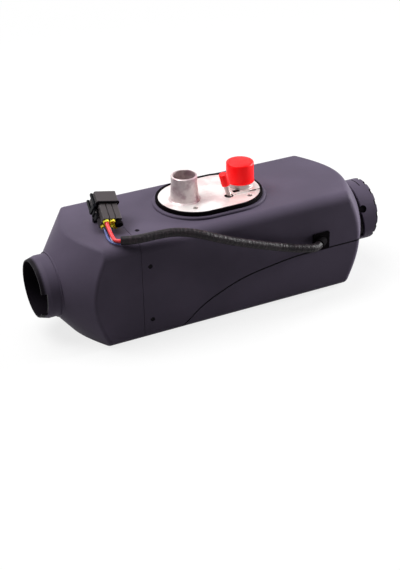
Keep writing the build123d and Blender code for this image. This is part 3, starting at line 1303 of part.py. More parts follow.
def connector_housing():
    """Housing with a rib for each column and a cavity for each wire."""
    body_end = CONNECTOR_LENGTH - MATE_LENGTH + MATE_SEAT
    housing = connector_block(0, 0, body_end, MATE_EDGE_R)
    length = CONNECTOR_LENGTH - MATE_LENGTH
    groove_y = (-1, length - FACE_SEAL)
    for column in range(CONNECTOR_COLUMNS - 1):
        x = (column - (CONNECTOR_COLUMNS - 2) / 2) * COLUMN_PITCH
        across = (x - COLUMN_GROOVE / 2, x + COLUMN_GROOVE / 2)
        housing -= block(across, groove_y, (CONNECTOR_THICKNESS - COLUMN_GROOVE, 2 * CONNECTOR_THICKNESS))
        housing -= block(across, groove_y, (-CONNECTOR_THICKNESS, COLUMN_GROOVE))
    middle = sum(ROW_HEIGHTS) / len(ROW_HEIGHTS)
    along = (middle - COLUMN_GROOVE / 2, middle + COLUMN_GROOVE / 2)
    half = CONNECTOR_WIDTH / 2
    for side in (-1, 1):
        across = sorted((side * (half - COLUMN_GROOVE), side * 2 * half))
        housing -= block(across, groove_y, along)
    for row in range(len(ROW_HEIGHTS)):
        for column in range(CONNECTOR_COLUMNS):
            housing -= rear_bar(WIRE_SEAL_R + EPS, column, row, -1, CAVITY_DEPTH)
    lug_y = (LATCH_PIVOT_Y - LATCH_LUG, LATCH_PIVOT_Y + LATCH_LUG)
    lug_x = (-half - LATCH_GAP - LATCH_PIN_R, -half + EPS)
    lug = block(lug_x, lug_y, (LATCH_Z[0] - LATCH_LUG, LATCH_Z[0] - LATCH_SLACK))
    housing += lug
    housing += latch_guard()
    housing += latch_bar(LATCH_PIN_R, LATCH_Z[0] - LATCH_LUG, LATCH_Z[1])
    return connector_frame() * housing


def latch_guard():
    """Slanted rib on the housing's side, beside the latch's pivot."""
    side = -CONNECTOR_WIDTH / 2 + EPS
    rib = Polyline((side, -GUARD_Z[1]), (side, -GUARD_Z[0]), (side - GUARD_REACH, -GUARD_Z[0]), close=True)
    plane = Plane(origin=(0, GUARD_Y, 0), x_dir=(1, 0, 0), z_dir=(0, 1, 0))
    return extrude(plane * make_face(rib), GUARD_WIDTH)


def latch_bar(radius, z0, z1):
    """Round bar on the latch's pivot, in the connector's own frame."""
    return post(radius, -CONNECTOR_WIDTH / 2 - LATCH_GAP, LATCH_PIVOT_Y, z0, z1)


def connector_shroud():
    """Mating shroud over the front of the housing, open at its mouth."""
    start = CONNECTOR_LENGTH - MATE_LENGTH
    shroud = connector_block(MATE_PROUD, start, CONNECTOR_LENGTH, MATE_EDGE_R)
    shroud -= connector_block(EPS, start - PAST, CONNECTOR_LENGTH + PAST, MATE_EDGE_R)
    return connector_frame() * shroud


def connector_face_seal():
    """Black rubber edge behind the shroud."""
    start = CONNECTOR_LENGTH - MATE_LENGTH - FACE_SEAL
    seal = connector_block(MATE_PROUD + FACE_SEAL_PROUD, start, start + FACE_SEAL, MATE_EDGE_R)
    seal -= connector_block(EPS, start - PAST, start + FACE_SEAL + PAST, MATE_EDGE_R)
    return connector_frame() * seal


def connector_clip():
    """Clip under the shroud that the connector stands on."""
    start = CONNECTOR_LENGTH - MATE_LENGTH + CLIP_SET_BACK
    half = CONNECTOR_WIDTH / 2 + MATE_PROUD
    under = -MATE_PROUD - EPS
    strip_y = (start, start + CLIP_WIDTH)
    clip = block((-half, half - CLIP_SET_BACK), strip_y, (under - CLIP_THICKNESS, under))
    clip = connector_frame() * clip
    leg_top = Pos(CLIP_LEG_X, start + CLIP_WIDTH / 2, under - CLIP_THICKNESS / 2)
    middle = (connector_frame() * leg_top).position
    leg = block(
        (middle.X - CLIP_WIDTH / 2, middle.X + CLIP_WIDTH / 2),
        (middle.Y - CLIP_THICKNESS, middle.Y + CLIP_THICKNESS),
        (CASE_HEIGHT + CLIP_GAP, middle.Z - CLIP_THICKNESS / 4))
    return clip + leg


def connector_latch():
    """Sprung lever at the connector's side, with a beam and two prongs."""
    x1 = -CONNECTOR_WIDTH / 2 - LATCH_GAP
    lever_x = (x1 - LATCH_THICKNESS / 2, x1 + LATCH_THICKNESS / 2)
    lever = block(lever_x, (LATCH_Y[0], LATCH_BEAM_Y[1]), LATCH_Z)
    lever += block(lever_x, LATCH_BEAM_Y, LATCH_BEAM_Z)
    low, high = LATCH_BEAM_Z
    prongs = ((low, low + LATCH_PRONG), (high - LATCH_PRONG, high))
    for prong_z in prongs:
        lever += block(lever_x, (LATCH_BEAM_Y[0], LATCH_Y[1]), prong_z)
    lever = fillet(lever.edges().filter_by(Axis.X), LATCH_EDGE_R)
    rib_x = (lever_x[0] - LATCH_BEAM_PROUD, lever_x[0] + EPS)
    rib_z = (low + LATCH_EDGE_R, high - LATCH_EDGE_R)
    lever += block(rib_x, LATCH_BEAM_Y, rib_z)
    lever += latch_bar(LATCH_HUB_R, *LATCH_Z)
    lever -= latch_bar(LATCH_PIN_R + LATCH_PIN_FIT, LATCH_Z[0] - PAST, LATCH_Z[1] + PAST)
    nose_x = (lever_x[1] - EPS, lever_x[1] + LATCH_NOSE)
    nose_y = (LATCH_Y[1] - LATCH_EDGE_R - LATCH_NOSE, LATCH_Y[1] - LATCH_EDGE_R)
    for prong_z in prongs:
        lever += block(nose_x, nose_y, prong_z)
    return connector_frame() * lever


def wire_seal(column, row, bore_r):
    """Ring seal with a rounded rim, in the connector's own frame."""
    seal = rear_bar(WIRE_SEAL_R, column, row, -WIRE_SEAL_PROUD, CAVITY_DEPTH)
    seal -= rear_bar(bore_r, column, row, -WIRE_SEAL_PROUD - PAST, CAVITY_DEPTH + PAST)
    return fillet(seal.edges().filter_by(GeomType.CIRCLE).group_by(Axis.Y)[0], WIRE_SEAL_ROUND)


def wire_seals():
    """Yellow ring seals in the cavities, each as wide inside as its wire."""
    frame = connector_frame()
    return Compound(children=[
        frame * wire_seal(column, row, WIRE_BORES.get((column, row), WIRE_SEAL_BORE_R))
        for column, row in seal_places()
    ])


def blanking_plug():
    """Black plug in the unused cavity."""
    place = (PLUGGED_COLUMN, PLUGGED_ROW)
    plug = rear_bar(WIRE_SEAL_R, *place, -PLUG_PROUD, CAVITY_DEPTH)
    plug += rear_bar(PLUG_R, *place, -PLUG_PROUD, -WIRE_SEAL_PROUD - PLUG_GAP)
    return connector_frame() * plug


def wire(column, row, radius, start_shift, waypoints, name):
    """Wire from the cable's end to its seal."""
    end, before = Vector(*CABLE_ROUTE[-1]), Vector(*CABLE_ROUTE[-2])
    along = (end - before).normalized()
    across = along.cross(Vector(0, 0, 1)).normalized()
    up = across.cross(along)
    start = end + across * start_shift[0] + up * start_shift[1]
    x, z = place_xz(column, row)
    frame = connector_frame()
    arrive = (frame * Pos(x, CAVITY_DEPTH, z)).position
    run_in = (frame * Pos(x, -WIRE_SEAL_PROUD - WIRE_RUN_IN, z)).position
    places = [start, start + along * WIRE_RUN_OUT]
    places += [Vector(*point) for point in waypoints]
    return cord_tube([tuple(place) for place in places + [run_in, arrive]], radius, name)


# ------------------------------------------------------------ the whole ----
def pieces():
    """All pieces by name."""
    outer = rounded_case()
    inner = case_form(WALL)
    stock = shell_stock(outer, inner)
    yield "flange_shell", flange_shell(stock)
    yield "cover_shell", cover_shell(stock)
    yield "outlet_hood", outlet_hood(outer, inner)
    yield "flange_seal", flange_seal()
    yield "heat_exchanger", heat_exchanger()
    yield "exhaust_spigot", exhaust_spigot()
    yield "burner_tube", burner_tube()
    yield "burner_gasket", burner_gasket()
    yield "burner_head", burner_head()
    yield "burner_screws", burner_screws()
    yield "glow_plug", glow_plug()
    yield "glow_plug_screen", glow_plug_screen()
    yield "fuel_pipe", fuel_pipe()
    yield "blower_housing", blower_housing()
    yield "blower_gasket", blower_gasket()
    yield "blower_cover", blower_cover()
    yield "blower_screws", blower_screws()
    yield "combustion_impeller", combustion_impeller()
    yield "motor_can", motor_can()
    yield "motor_magnets", motor_magnets()
    yield "motor_armature", motor_armature()
    yield "motor_end_cap", motor_end_cap()
    yield "motor_bearings", motor_bearings()
    yield "motor_bolts", motor_bolts()
    yield "motor_shaft", motor_shaft()
    yield "fan_wheel", fan_wheel()
    yield "fan_nut", fan_nut()
    yield "fan_shroud", fan_shroud()
    yield "control_box", control_box()
    yield "control_lid", control_lid()
    yield "circuit_board", circuit_board()
    yield "overheat_sensor", overheat_sensor()
    yield "sensor_clip", sensor_clip()
    yield "intake_grille", intake_grille()
    yield "transport_cap", transport_cap()
    yield "fuel_pipe_cap", fuel_pipe_cap()
    yield "harness_grommet", harness_grommet()
    yield "inner_lead", inner_lead()
    yield "harness_cable", cord_tube(CABLE_ROUTE, CABLE_R, "harness_cable")
    yield "connector_housing", connector_housing()
    yield "connector_shroud", connector_shroud()
    yield "connector_face_seal", connector_face_seal()
    yield "connector_clip", connector_clip()
    yield "connector_latch", connector_latch()
    yield "wire_seals", wire_seals()
    yield "blanking_plug", blanking_plug()
    yield "red_wire", wire(*RED_PLACE, RED_WIRE_R, RED_START, RED_WAYPOINTS, "red_wire")
    yield "white_wire", wire(*WHITE_PLACE, THIN_WIRE_R, WHITE_START, WHITE_WAYPOINTS, "white_wire")
    yield "blue_wire", wire(*BLUE_PLACE, THIN_WIRE_R, BLUE_START, BLUE_WAYPOINTS, "blue_wire")


if __name__ == "__main__":
    os.makedirs("parts", exist_ok=True)
    for name, piece in pieces():
        export_step(piece, f"parts/{name}.step")
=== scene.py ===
import logging
from contextlib import contextmanager
from dataclasses import dataclass
from enum import Enum
from functools import lru_cache
from math import cos, pi, radians, sin
from typing import Callable, Iterator, Optional, Protocol, Sequence, Union

import bpy
from mathutils import Matrix, Vector


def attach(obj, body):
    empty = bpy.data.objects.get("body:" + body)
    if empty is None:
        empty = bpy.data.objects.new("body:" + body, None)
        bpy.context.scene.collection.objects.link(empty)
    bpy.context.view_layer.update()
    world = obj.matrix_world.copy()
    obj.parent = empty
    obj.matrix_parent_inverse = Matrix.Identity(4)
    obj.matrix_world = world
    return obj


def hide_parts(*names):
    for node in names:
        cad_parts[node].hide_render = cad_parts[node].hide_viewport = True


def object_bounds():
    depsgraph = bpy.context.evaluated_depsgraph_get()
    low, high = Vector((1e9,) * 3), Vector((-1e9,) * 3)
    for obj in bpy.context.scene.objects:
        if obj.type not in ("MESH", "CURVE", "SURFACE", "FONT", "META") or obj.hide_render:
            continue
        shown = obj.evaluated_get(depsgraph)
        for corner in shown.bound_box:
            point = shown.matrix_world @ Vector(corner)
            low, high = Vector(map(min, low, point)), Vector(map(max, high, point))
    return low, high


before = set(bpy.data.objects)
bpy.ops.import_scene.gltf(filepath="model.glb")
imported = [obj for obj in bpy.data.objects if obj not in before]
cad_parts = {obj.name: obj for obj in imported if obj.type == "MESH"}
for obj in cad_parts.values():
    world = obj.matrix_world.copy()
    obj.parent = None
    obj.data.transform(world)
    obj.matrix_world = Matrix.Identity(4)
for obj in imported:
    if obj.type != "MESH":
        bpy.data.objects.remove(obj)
CAD_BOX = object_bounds()
LOG = logging.getLogger("heater")

MM = 0.001
NEAR = 0.1 * MM  # places nearer than this count as the same
SOFT = 0.2 * MM  # width over which a painted edge fades
LEVEL = 0.9  # Z of a face's normal above which the face counts as level
UPRIGHT = 0.1  # and below which it counts as upright
AXIS_HEIGHT = 49.5 * MM  # of the warm air's path, over the floor
TURN = 360.0  # a full turn in degrees
DEGREES = TURN / 2 / pi  # in a radian
CAP_EDGE = 28.0  # angle in degrees from which an edge of the red caps stays sharp

Colour = tuple[float, float, float]
Point = tuple[float, float, float]
Piece = bpy.types.Object
Port = bpy.types.NodeSocket  # an input or an output of a node


# ---- shader maths ----
class Socket:
    """A shader value that adds its own Math nodes when it is reckoned with.

    Args:
        tree: Node tree that the value lives in.
        source: An output socket, or a plain number.
    """

    def __init__(self, tree: bpy.types.NodeTree, source: Union[Port, float]) -> None:
        """Keep the tree and what the value comes from."""
        self.tree = tree
        self.source = source

    def feed(self, target: Port) -> None:
        """Link or write the value into a node's input.

        Args:
            target: The input.
        """
        if isinstance(self.source, (int, float)):
            target.default_value = self.source
        else:
            self.tree.links.new(self.source, target)

    def _math(self, operation: str, *others: "Value", clamp: bool = False) -> "Socket":
        """One Math node on this value.

        Args:
            operation: Name of the Math node's operation.
            others: The further operands.
            clamp: Whether the result is held between 0 and 1.

        Returns:
            The node's result.
        """
        node = self.tree.nodes.new("ShaderNodeMath")
        node.operation = operation
        node.use_clamp = clamp
        for target, value in zip(node.inputs, (self, *others)):
            wrap(self.tree, value).feed(target)
        return Socket(self.tree, node.outputs[0])

    def __add__(self, other: "Value") -> "Socket":
        """Sum."""
        return self._math("ADD", other)

    def __radd__(self, other: "Value") -> "Socket":
        """Sum, with the number first."""
        return self._math("ADD", other)

    def __sub__(self, other: "Value") -> "Socket":
        """Difference."""
        return self._math("SUBTRACT", other)

    def __rsub__(self, other: "Value") -> "Socket":
        """Difference, with the number first."""
        return wrap(self.tree, other)._math("SUBTRACT", self)

    def __mul__(self, other: "Value") -> "Socket":
        """Product."""
        return self._math("MULTIPLY", other)

    def __rmul__(self, other: "Value") -> "Socket":
        """Product, with the number first."""
        return self._math("MULTIPLY", other)

    def power(self, exponent: "Value") -> "Socket":
        """This value to a power."""
        return self._math("POWER", exponent)

    def sine(self) -> "Socket":
        """Sine of an angle in radians."""
        return self._math("SINE")

    def angle_over(self, across: "Value") -> "Socket":
        """Angle in radians of a point this high over one so far across."""
        return self._math("ARCTAN2", across)

    def fraction(self) -> "Socket":
        """What is past the last whole number."""
        return self._math("FRACT")

    def modulo(self, step: "Value") -> "Socket":
        """Remainder after a step."""
        return self._math("MODULO", step)

    def absolute(self) -> "Socket":
        """This value without its sign."""
        return self._math("ABSOLUTE")

    def maximum(self, other: "Value") -> "Socket":
        """The larger of two values."""
        return self._math("MAXIMUM", other)

    def clamped(self) -> "Socket":
        """This value, held between 0 and 1."""
        return self._math("ADD", 0.0, clamp=True)

    def above(self, limit: "Value") -> "Socket":
        """1 above a limit and 0 below it."""
        return self._math("GREATER_THAN", limit)

    def below(self, limit: "Value") -> "Socket":
        """1 below a limit and 0 above it."""
        return self._math("LESS_THAN", limit)

    def within(self, low: "Value", high: "Value") -> "Socket":
        """1 between two limits and 0 elsewhere."""
        return self.above(low) * self.below(high)

    def smooth(self, low: float, high: float) -> "Socket":
        """Smooth step of this value.

        Args:
            low: Number up to which it is 0.
            high: Number from which it is 1.

        Returns:
            The step's value.
        """
        tree = Tree(self.tree)
        return tree.read(tree.node("ShaderNodeMapRange", {"interpolation_type": "SMOOTHSTEP"},
                                   Value=self, From_Min=low, From_Max=high), "Result")


Value = Union[Socket, float]
Axes = tuple[Socket, Socket, Socket]
Paintable = Union[Colour, Port]


def wrap(tree: bpy.types.NodeTree, value: Value) -> Socket:
    """The value as a Socket."""
    return value if isinstance(value, Socket) else Socket(tree, float(value))


def distance(*parts: Socket) -> Socket:
    """Length of the vector that has these parts along the axes."""
    first, *others = (part * part for part in parts)
    return sum(others, first).power(0.5)


def shaded(colour: Colour, factor: float, lift: float = 0.0) -> Colour:
    """A colour made darker or paler, with no part of it over 1."""
    return tuple(min(1.0, part * factor + lift) for part in colour)


class Coordinates(Enum):
    """What a pattern follows."""

    OBJECT = "Object"
    UV = "UV"


class Tree:
    """Node tree with one call for every kind of node.

    Args:
        tree: The node tree.
    """

    def __init__(self, tree: bpy.types.NodeTree) -> None:
        """Keep the tree."""
        self.tree = tree

    def connect(self, value: object, target: Port) -> None:
        """Give an input a value or a link.

        Args:
            value: The value, or the output to link.
            target: The input.
        """
        if isinstance(value, Socket):
            value.feed(target)
        elif isinstance(value, Port):
            self.tree.links.new(value, target)
        else:
            target.default_value = value

    def node(self, kind: str, settings: Optional[dict[str, object]] = None, **inputs: object) -> bpy.types.Node:
        """Add a node.

        Args:
            kind: Name of the node's type.
            settings: Its own settings, set first.
            inputs: Values or links of its sockets, with _ for a space.

        Returns:
            The new node.
        """
        node = self.tree.nodes.new(kind)
        for key, value in (settings or {}).items():
            setattr(node, key, value)
        for key, value in inputs.items():
            self.connect(value, node.inputs[key.replace("_", " ")])
        return node

    def read(self, node: bpy.types.Node, output: str) -> Socket:
        """One of a node's outputs as a value."""
        return Socket(self.tree, node.outputs[output])

    def axes(self, where: Port) -> Axes:
        """X, Y and Z of a vector."""
        parts = self.node("ShaderNodeSeparateXYZ", Vector=where)
        return self.read(parts, "X"), self.read(parts, "Y"), self.read(parts, "Z")

    def seen(self) -> Socket:
        """Tell what the eye sees, also in a mirror or through glass, from what lights the object.

        Returns:
            1 for what the eye sees and 0 for the rest.
        """
        rays = self.node("ShaderNodeLightPath")
        camera = self.read(rays, "Is Camera Ray")
        return camera.maximum(self.read(rays, "Is Glossy Ray")).maximum(self.read(rays, "Is Transmission Ray"))


class Paint(Tree):
    """Node tree of one material, with short calls for what the finishes use."""

    def __init__(self, name: str) -> None:
        """Add the material, with a shader and an output in its tree.

        Args:
            name: Name of the material.
        """
        self.material = bpy.data.materials.new(name)
        self.material.use_nodes = True
        super().__init__(self.material.node_tree)
        self.tree.nodes.clear()
        self.shader = self.node("ShaderNodeBsdfPrincipled")
        self.output = self.node("ShaderNodeOutputMaterial", Surface=self.shader.outputs["BSDF"])

    def coordinates(self, kind: Coordinates = Coordinates.OBJECT,
                    scale: Point = (1.0, 1.0, 1.0)) -> Port:
        """Coordinates of a kind, scaled along each axis."""
        source = self.node("ShaderNodeTexCoord").outputs[kind.value]
        return self.node("ShaderNodeMapping", Vector=source, Scale=scale).outputs["Vector"]

    def noise(self, scale: float, detail: float = 2.0, where: Optional[Port] = None) -> Socket:
        """Noise between 0 and 1.

        Args:
            scale: Features per metre, or per unit of the coordinates.
            detail: Number of finer layers.
            where: Coordinates; the object's own if left out.

        Returns:
            The noise's value.
        """
        if where is None:
            where = self.coordinates()
        return self.read(self.node("ShaderNodeTexNoise", Vector=where, Scale=scale, Detail=detail), "Fac")

    def cells(self, scale: float) -> Socket:
        """Distance to the nearest cell's middle, for pores and tracks."""
        return self.read(self.node("ShaderNodeTexVoronoi", Vector=self.coordinates(), Scale=scale), "Distance")

    def between(self, low: Paintable, high: Paintable, share: Value) -> Port:
        """Blend two colours.

        Args:
            low: The first.
            high: The second.
            share: How much of the second there is.

        Returns:
            The blend's output.
        """
        node = self.node("ShaderNodeMix", {"data_type": "RGBA"})
        wrap(self.tree, share).feed(node.inputs[0])
        for target, colour in ((node.inputs[6], low), (node.inputs[7], high)):
            self.connect((*colour, 1.0) if isinstance(colour, tuple) else colour, target)
        return node.outputs[2]

    def set(self, name: str, value: object) -> None:
        """Give one of the shader's sockets a value or a link."""
        self.connect(value, self.shader.inputs[name])

    def roughen(self, level: float, *swings: tuple[Socket, float]) -> None:
        """Set the roughness.

        Args:
            level: Its level.
            swings: Patterns between 0 and 1, each with how far it swings the roughness.
        """
        total: Value = level
        for pattern, swing in swings:
            total = total + (pattern - 0.5) * swing
        self.set("Roughness", total)

    def bump(self, height: Value, depth: float) -> None:
        """Raise a relief.

        Args:
            height: Its height, between 0 and 1.
            depth: What 1 stands for, in metres.
        """
        node = self.node("ShaderNodeBump", Distance=depth, Strength=1.0)
        wrap(self.tree, height).feed(node.inputs["Height"])
        self.set("Normal", node.outputs["Normal"])


# ---- finishes ----
@dataclass(frozen=True)
class Finish:
    """What every finish has: its material's name and its main colour."""

    name: str
    colour: Colour

    def lay(self, paint: Paint) -> None:
        """Lay the finish on a new material."""
        raise NotImplementedError

    @lru_cache(maxsize=None)
    def material(self) -> bpy.types.Material:
        """Make the material, once.

        Returns:
            The material.
        """
        paint = Paint(self.name)
        self.lay(paint)
        return paint.material


@dataclass(frozen=True)
class Moulding(Finish):
    """Moulded plastic or rubber, with its grains and its clouds of colour per metre.

    The drift is the share by which the clouds change the colour.
    """

    roughness: float = 0.5
    specular: float = 0.35
    grain: float = 1400.0
    grain_depth: float = 0.04 * MM
    clouds: float = 18.0
    drift: float = 0.08

    def lay(self, paint: Paint) -> None:
        """Lay the finish on a new material.

        Args:
            paint: The material's tree.
        """
        clouds = paint.noise(self.clouds, 3.0)
        shades = (shaded(self.colour, 1 + side * self.drift) for side in (-1, 1))
        paint.set("Base Color", paint.between(*shades, clouds))
        grain = paint.noise(self.grain, 3.0)
        paint.roughen(self.roughness, (grain, 0.08), (clouds, 0.06))
        paint.set("Specular IOR Level", self.specular)
        paint.bump(grain, self.grain_depth)


class ShadeMark(Protocol):
    """Anything that paints shade on the case, as a darker colour where shade falls."""

    def mask(self, paint: Paint, axes: Axes) -> Socket:
        """1 in the painted shade and 0 elsewhere."""


@dataclass(frozen=True)
class SplitLineShade:
    """Painted shade in the seam where the two shells of the case meet, drawn as a darker line; its points are X and Z
    on the case's sides.
    """

    points: tuple[tuple[float, float], ...] = (
        (-0.0605, 0.0000), (-0.0490, 0.0080), (-0.0381, 0.0169), (-0.0262, 0.0243),
        (-0.0135, 0.0302), (-0.0005, 0.0354), (0.0129, 0.0395), (0.0267, 0.0423),
        (0.0406, 0.0443), (0.0545, 0.0462), (0.0684, 0.0476), (0.0840, 0.0480),
    )
    half_width: float = 0.8 * MM
    side: float = 50.0 * MM

    def mask(self, paint: Paint, axes: Axes) -> Socket:
        """Mark the line.

        Args:
            paint: The material's tree.
            axes: Place on the heater.

        Returns:
            1 on it and 0 elsewhere.
        """
        x, y, z = axes
        (start, floor), (end, top) = self.points[0], self.points[-1]
        node = paint.node("ShaderNodeFloatCurve")
        curve = node.mapping.curves[0]
        curve.points[0].location = (0.0, 0.0)
        curve.points[1].location = (1.0, 1.0)
        for place, height in self.points[1:-1]:
            curve.points.new((place - start) / (end - start), (height - floor) / (top - floor))
        node.mapping.update()
        ((x - start) * (1 / (end - start))).clamped().feed(node.inputs["Value"])
        # painted shade: darker within half a line's width of the seam's curve
        away = (z - (paint.read(node, "Value") * (top - floor) + floor)).absolute()
        near = 1 - away.smooth(self.half_width * 0.5, self.half_width * 1.5)
        return near * x.above(start) * y.absolute().above(self.side)


@dataclass(frozen=True)
class PegHoleShade:
    """Painted shade in the holes of the snap pegs that hold the hood, placed on the near half and mirrored on the far
    one.
    """

    places: tuple[Point, ...] = ((-0.0852, 0.0575, 0.020), (-0.0852, 0.0575, 0.076), (-0.0852, 0.030, 0.1005))
    radius: float = 2.1 * MM

    def mask(self, paint: Paint, axes: Axes) -> Socket:
        """Mark the holes.

        Args:
            Paint the shade in the holes.
            axes: Place on the heater.

        Returns:
            1 in them and 0 elsewhere.
        """
        x, y, z = axes
        found = wrap(paint.tree, 0.0)
        for along, across, height in self.places:
            # painted shade: darker round each peg hole
            away = distance(x - along, y.absolute() - across, z - height)
            found = found.maximum(1 - away.smooth(self.radius * 0.8, self.radius * 1.2))
        return found


@dataclass(frozen=True)
class DuctShade:
    """Painted shade inside the outlet collar, up to where it opens into the hood."""

    radius: float = 29.2 * MM
    end: float = -115.0 * MM

    def mask(self, paint: Paint, axes: Axes) -> Socket:
        """Paint the shade inside the duct.

        Args:
            paint: The material's tree.
            axes: Place on the heater.

        Returns:
            1 in it and 0 elsewhere.
        """
        x, y, z = axes
        away = distance(y, z - AXIS_HEIGHT)
        # painted shade: darker inside the collar's bore
        return (1 - away.smooth(self.radius - MM, self.radius)) * x.below(self.end)


@dataclass(frozen=True)
class IntakeCapShade:
    """Painted shade in the neck, rim pockets, short groove and round notches of the intake cap.

    The neck, the pockets' start, the groove and the notches are placed along the heater. Angles are in degrees, from
    the near side upwards.
    """

    neck_radius: float = 29.4 * MM
    neck: tuple[float, float] = (0.1525, 0.1760)
    pockets: int = 16
    pocket_phase: float = 11.25
    pocket_half_angle: float = 4.7
    pocket_start: float = 0.1775
    groove: tuple[float, float] = (0.1706, 0.1717)
    groove_angles: tuple[float, float] = (75.0, 105.0)
    notch_angles: tuple[float, ...] = (27.0, 147.0, 267.0)
    notch_place: float = 0.1636
    notch_radius: float = 4.0 * MM

    def mask(self, paint: Paint, axes: Axes) -> Socket:
        """Paint the shade in the neck, pockets, groove and notches.

        Args:
            paint: The material's tree.
            axes: Place on the heater.

        Returns:
            1 in them and 0 elsewhere.
        """
        x, y, z = axes
        height = z - AXIS_HEIGHT
        radius = distance(y, height)
        angle = height.angle_over(y * -1.0) * DEGREES
        # painted shade: darker in the neck, the rim pockets, the groove and the notches
        found = (1 - radius.smooth(self.neck_radius, self.neck_radius + SOFT)) * x.within(*self.neck)
        step = TURN / self.pockets
        away = ((angle - self.pocket_phase + step / 2 + 2 * TURN).modulo(step) - step / 2).absolute()
        pocket = 1 - away.smooth(self.pocket_half_angle, self.pocket_half_angle + 0.3)
        found = found.maximum(pocket * x.above(self.pocket_start) * radius.above(self.neck_radius - MM))
        groove = x.within(*self.groove) * angle.within(*self.groove_angles)
        found = found.maximum(groove * radius.above(self.neck_radius))
        for turn in self.notch_angles:
            across = ((angle - turn + 2.5 * TURN).modulo(TURN) - TURN / 2) * (1 / DEGREES) * radius
            away = distance(across, x - self.notch_place)
            found = found.maximum(1 - away.smooth(self.notch_radius - SOFT, self.notch_radius))
        return found


@dataclass(frozen=True)
class CasePlastic(Finish):
    """Moulded case plastic, with its grains and its clouds of colour per metre, and painted shade where its marks
    fall.
    """

    roughness: float = 0.5
    specular: float = 0.05
    grain: float = 1500.0
    grain_depth: float = 0.05 * MM
    clouds: float = 14.0
    # painted shade: colour of the shade, and how far it darkens the case where its marks fall
    shade_colour: Colour = (0.002, 0.001, 0.002)
    shade_strength: float = 0.95
    marks: tuple[ShadeMark, ...] = (PegHoleShade(), SplitLineShade(), DuctShade(), IntakeCapShade())

    def lay(self, paint: Paint) -> None:
        """Lay the finish on a new material.

        Args:
            paint: The material's tree.
        """
        clouds = paint.noise(self.clouds, 4.0)
        grain = paint.noise(self.grain, 3.0)
        plastic = paint.between(shaded(self.colour, 0.88), shaded(self.colour, 1.1), clouds.smooth(0.3, 0.7))
        axes = paint.axes(paint.coordinates())
        in_shade = wrap(paint.tree, 0.0)
        for mark in self.marks:
            in_shade = in_shade.maximum(mark.mask(paint, axes))
        # painted shade: the case turns darker in its seam, peg holes, outlet duct and intake cap's hollows
        paint.set("Base Color", paint.between(plastic, self.shade_colour, in_shade * self.shade_strength))
        paint.roughen(self.roughness, (grain, 0.1), (clouds, 0.08))
        paint.set("Specular IOR Level", self.specular)
        paint.bump(grain, self.grain_depth)


@dataclass(frozen=True)
class ShadeBox:
    """Box between two corners in which a casting gets painted shade."""

    low: Point
    high: Point
    shade_strength: float = 1.0


@dataclass(frozen=True)
class Casting(Finish):
    """Die-cast aluminium, with its stains, its skin's bumps and its pores per metre, and painted shade in the boxes
    that it is given.
    """

    stained: Colour
    metallic: float = 0.8
    roughness: float = 0.5
    stains: float = 45.0
    skin: float = 700.0
    pores: float = 420.0
    relief: float = 0.1 * MM
    # painted shade: boxes that get a darker colour, and that colour
    shade_boxes: tuple[ShadeBox, ...] = ()
    painted_shade_colour: Colour = (0.012, 0.008, 0.010)

    def painted_shade(self, paint: Paint) -> Socket:
        """Reckon how much painted shade a place gets.

        Args:
            paint: The material's tree.

        Returns:
            The darkness, 0 outside the recesses.
        """
        axes = paint.axes(paint.coordinates())
        found = wrap(paint.tree, 0.0)
        for shade_box in self.shade_boxes:
            inside = wrap(paint.tree, shade_box.shade_strength)
            for value, low, high in zip(axes, shade_box.low, shade_box.high):
                inside = inside * value.smooth(low - NEAR, low) * (1 - value.smooth(high, high + NEAR))
            found = found.maximum(inside)
        return found

    def lay(self, paint: Paint) -> None:
        """Lay the finish on a new material.

        Args:
            paint: The material's tree.
        """
        stains = paint.noise(self.stains, 4.0).smooth(0.42, 0.68)
        colour = paint.between(self.colour, self.stained, stains)
        # painted shade: darker colour in the boxes, where shade falls
        if self.shade_boxes:
            colour = paint.between(colour, self.painted_shade_colour, self.painted_shade(paint))
        paint.set("Base Color", colour)
        paint.set("Metallic", self.metallic)
        skin = paint.noise(self.skin, 4.0)
        paint.set("Roughness", self.roughness + (skin - 0.5) * 0.2 + stains * 0.08)
        pores = 1 - paint.cells(self.pores).smooth(0.05, 0.3)
        paint.bump(skin - pores * 0.5, self.relief)


@dataclass(frozen=True)
class Steel(Finish):
    """Plain or plated steel, with its brushed lines per metre along each axis."""

    roughness: float = 0.35
    lines: Point = (60.0, 900.0, 900.0)
    relief: float = 0.03 * MM

    def lay(self, paint: Paint) -> None:
        """Lay the finish on a new material.

        Args:
            paint: The material's tree.
        """
        lines = paint.noise(1.0, 2.0, paint.coordinates(scale=self.lines))
        paint.set("Base Color", paint.between(shaded(self.colour, 0.85), self.colour, lines))
        paint.set("Metallic", 1.0)
        paint.roughen(self.roughness, (lines, 0.15))
        paint.bump(lines, self.relief)


@dataclass(frozen=True)
class CapPlastic(Finish):
    """Soft plastic of the transport caps, with its flow marks per metre along each axis.

    The glow is painted light: the plastic shines by itself, standing in for the light that it lets through.
    """

    # painted light: colours and strength with which the caps glow by themselves
    painted_glow_colours: tuple[Colour, Colour] = ((0.9, 0.0, 0.002), (1.0, 0.004, 0.006))
    glow: float = 0.38
    flow: Point = (120.0, 120.0, 35.0)
    grain: float = 800.0
    grain_depth: float = 0.04 * MM

    def lay(self, paint: Paint) -> None:
        """Lay the finish on a new material.

        Args:
            paint: The material's tree.
        """
        flow = paint.noise(1.0, 2.0, paint.coordinates(scale=self.flow))
        paint.set("Base Color", paint.between(self.colour, shaded(self.colour, 1.1, 0.006), flow))
        paint.roughen(0.42, (flow, 0.16))
        paint.set("Specular IOR Level", 0.25)
        paint.set("Subsurface Weight", 0.4)
        paint.set("Subsurface Radius", (30.0 * MM, 0.5 * MM, 0.5 * MM))
        paint.set("Subsurface Scale", 1.0)
        # painted light: the caps glow by themselves
        paint.set("Emission Color", paint.between(*self.painted_glow_colours, flow))
        paint.set("Emission Strength", self.glow)
        paint.bump(paint.noise(self.grain, 2.0), self.grain_depth)


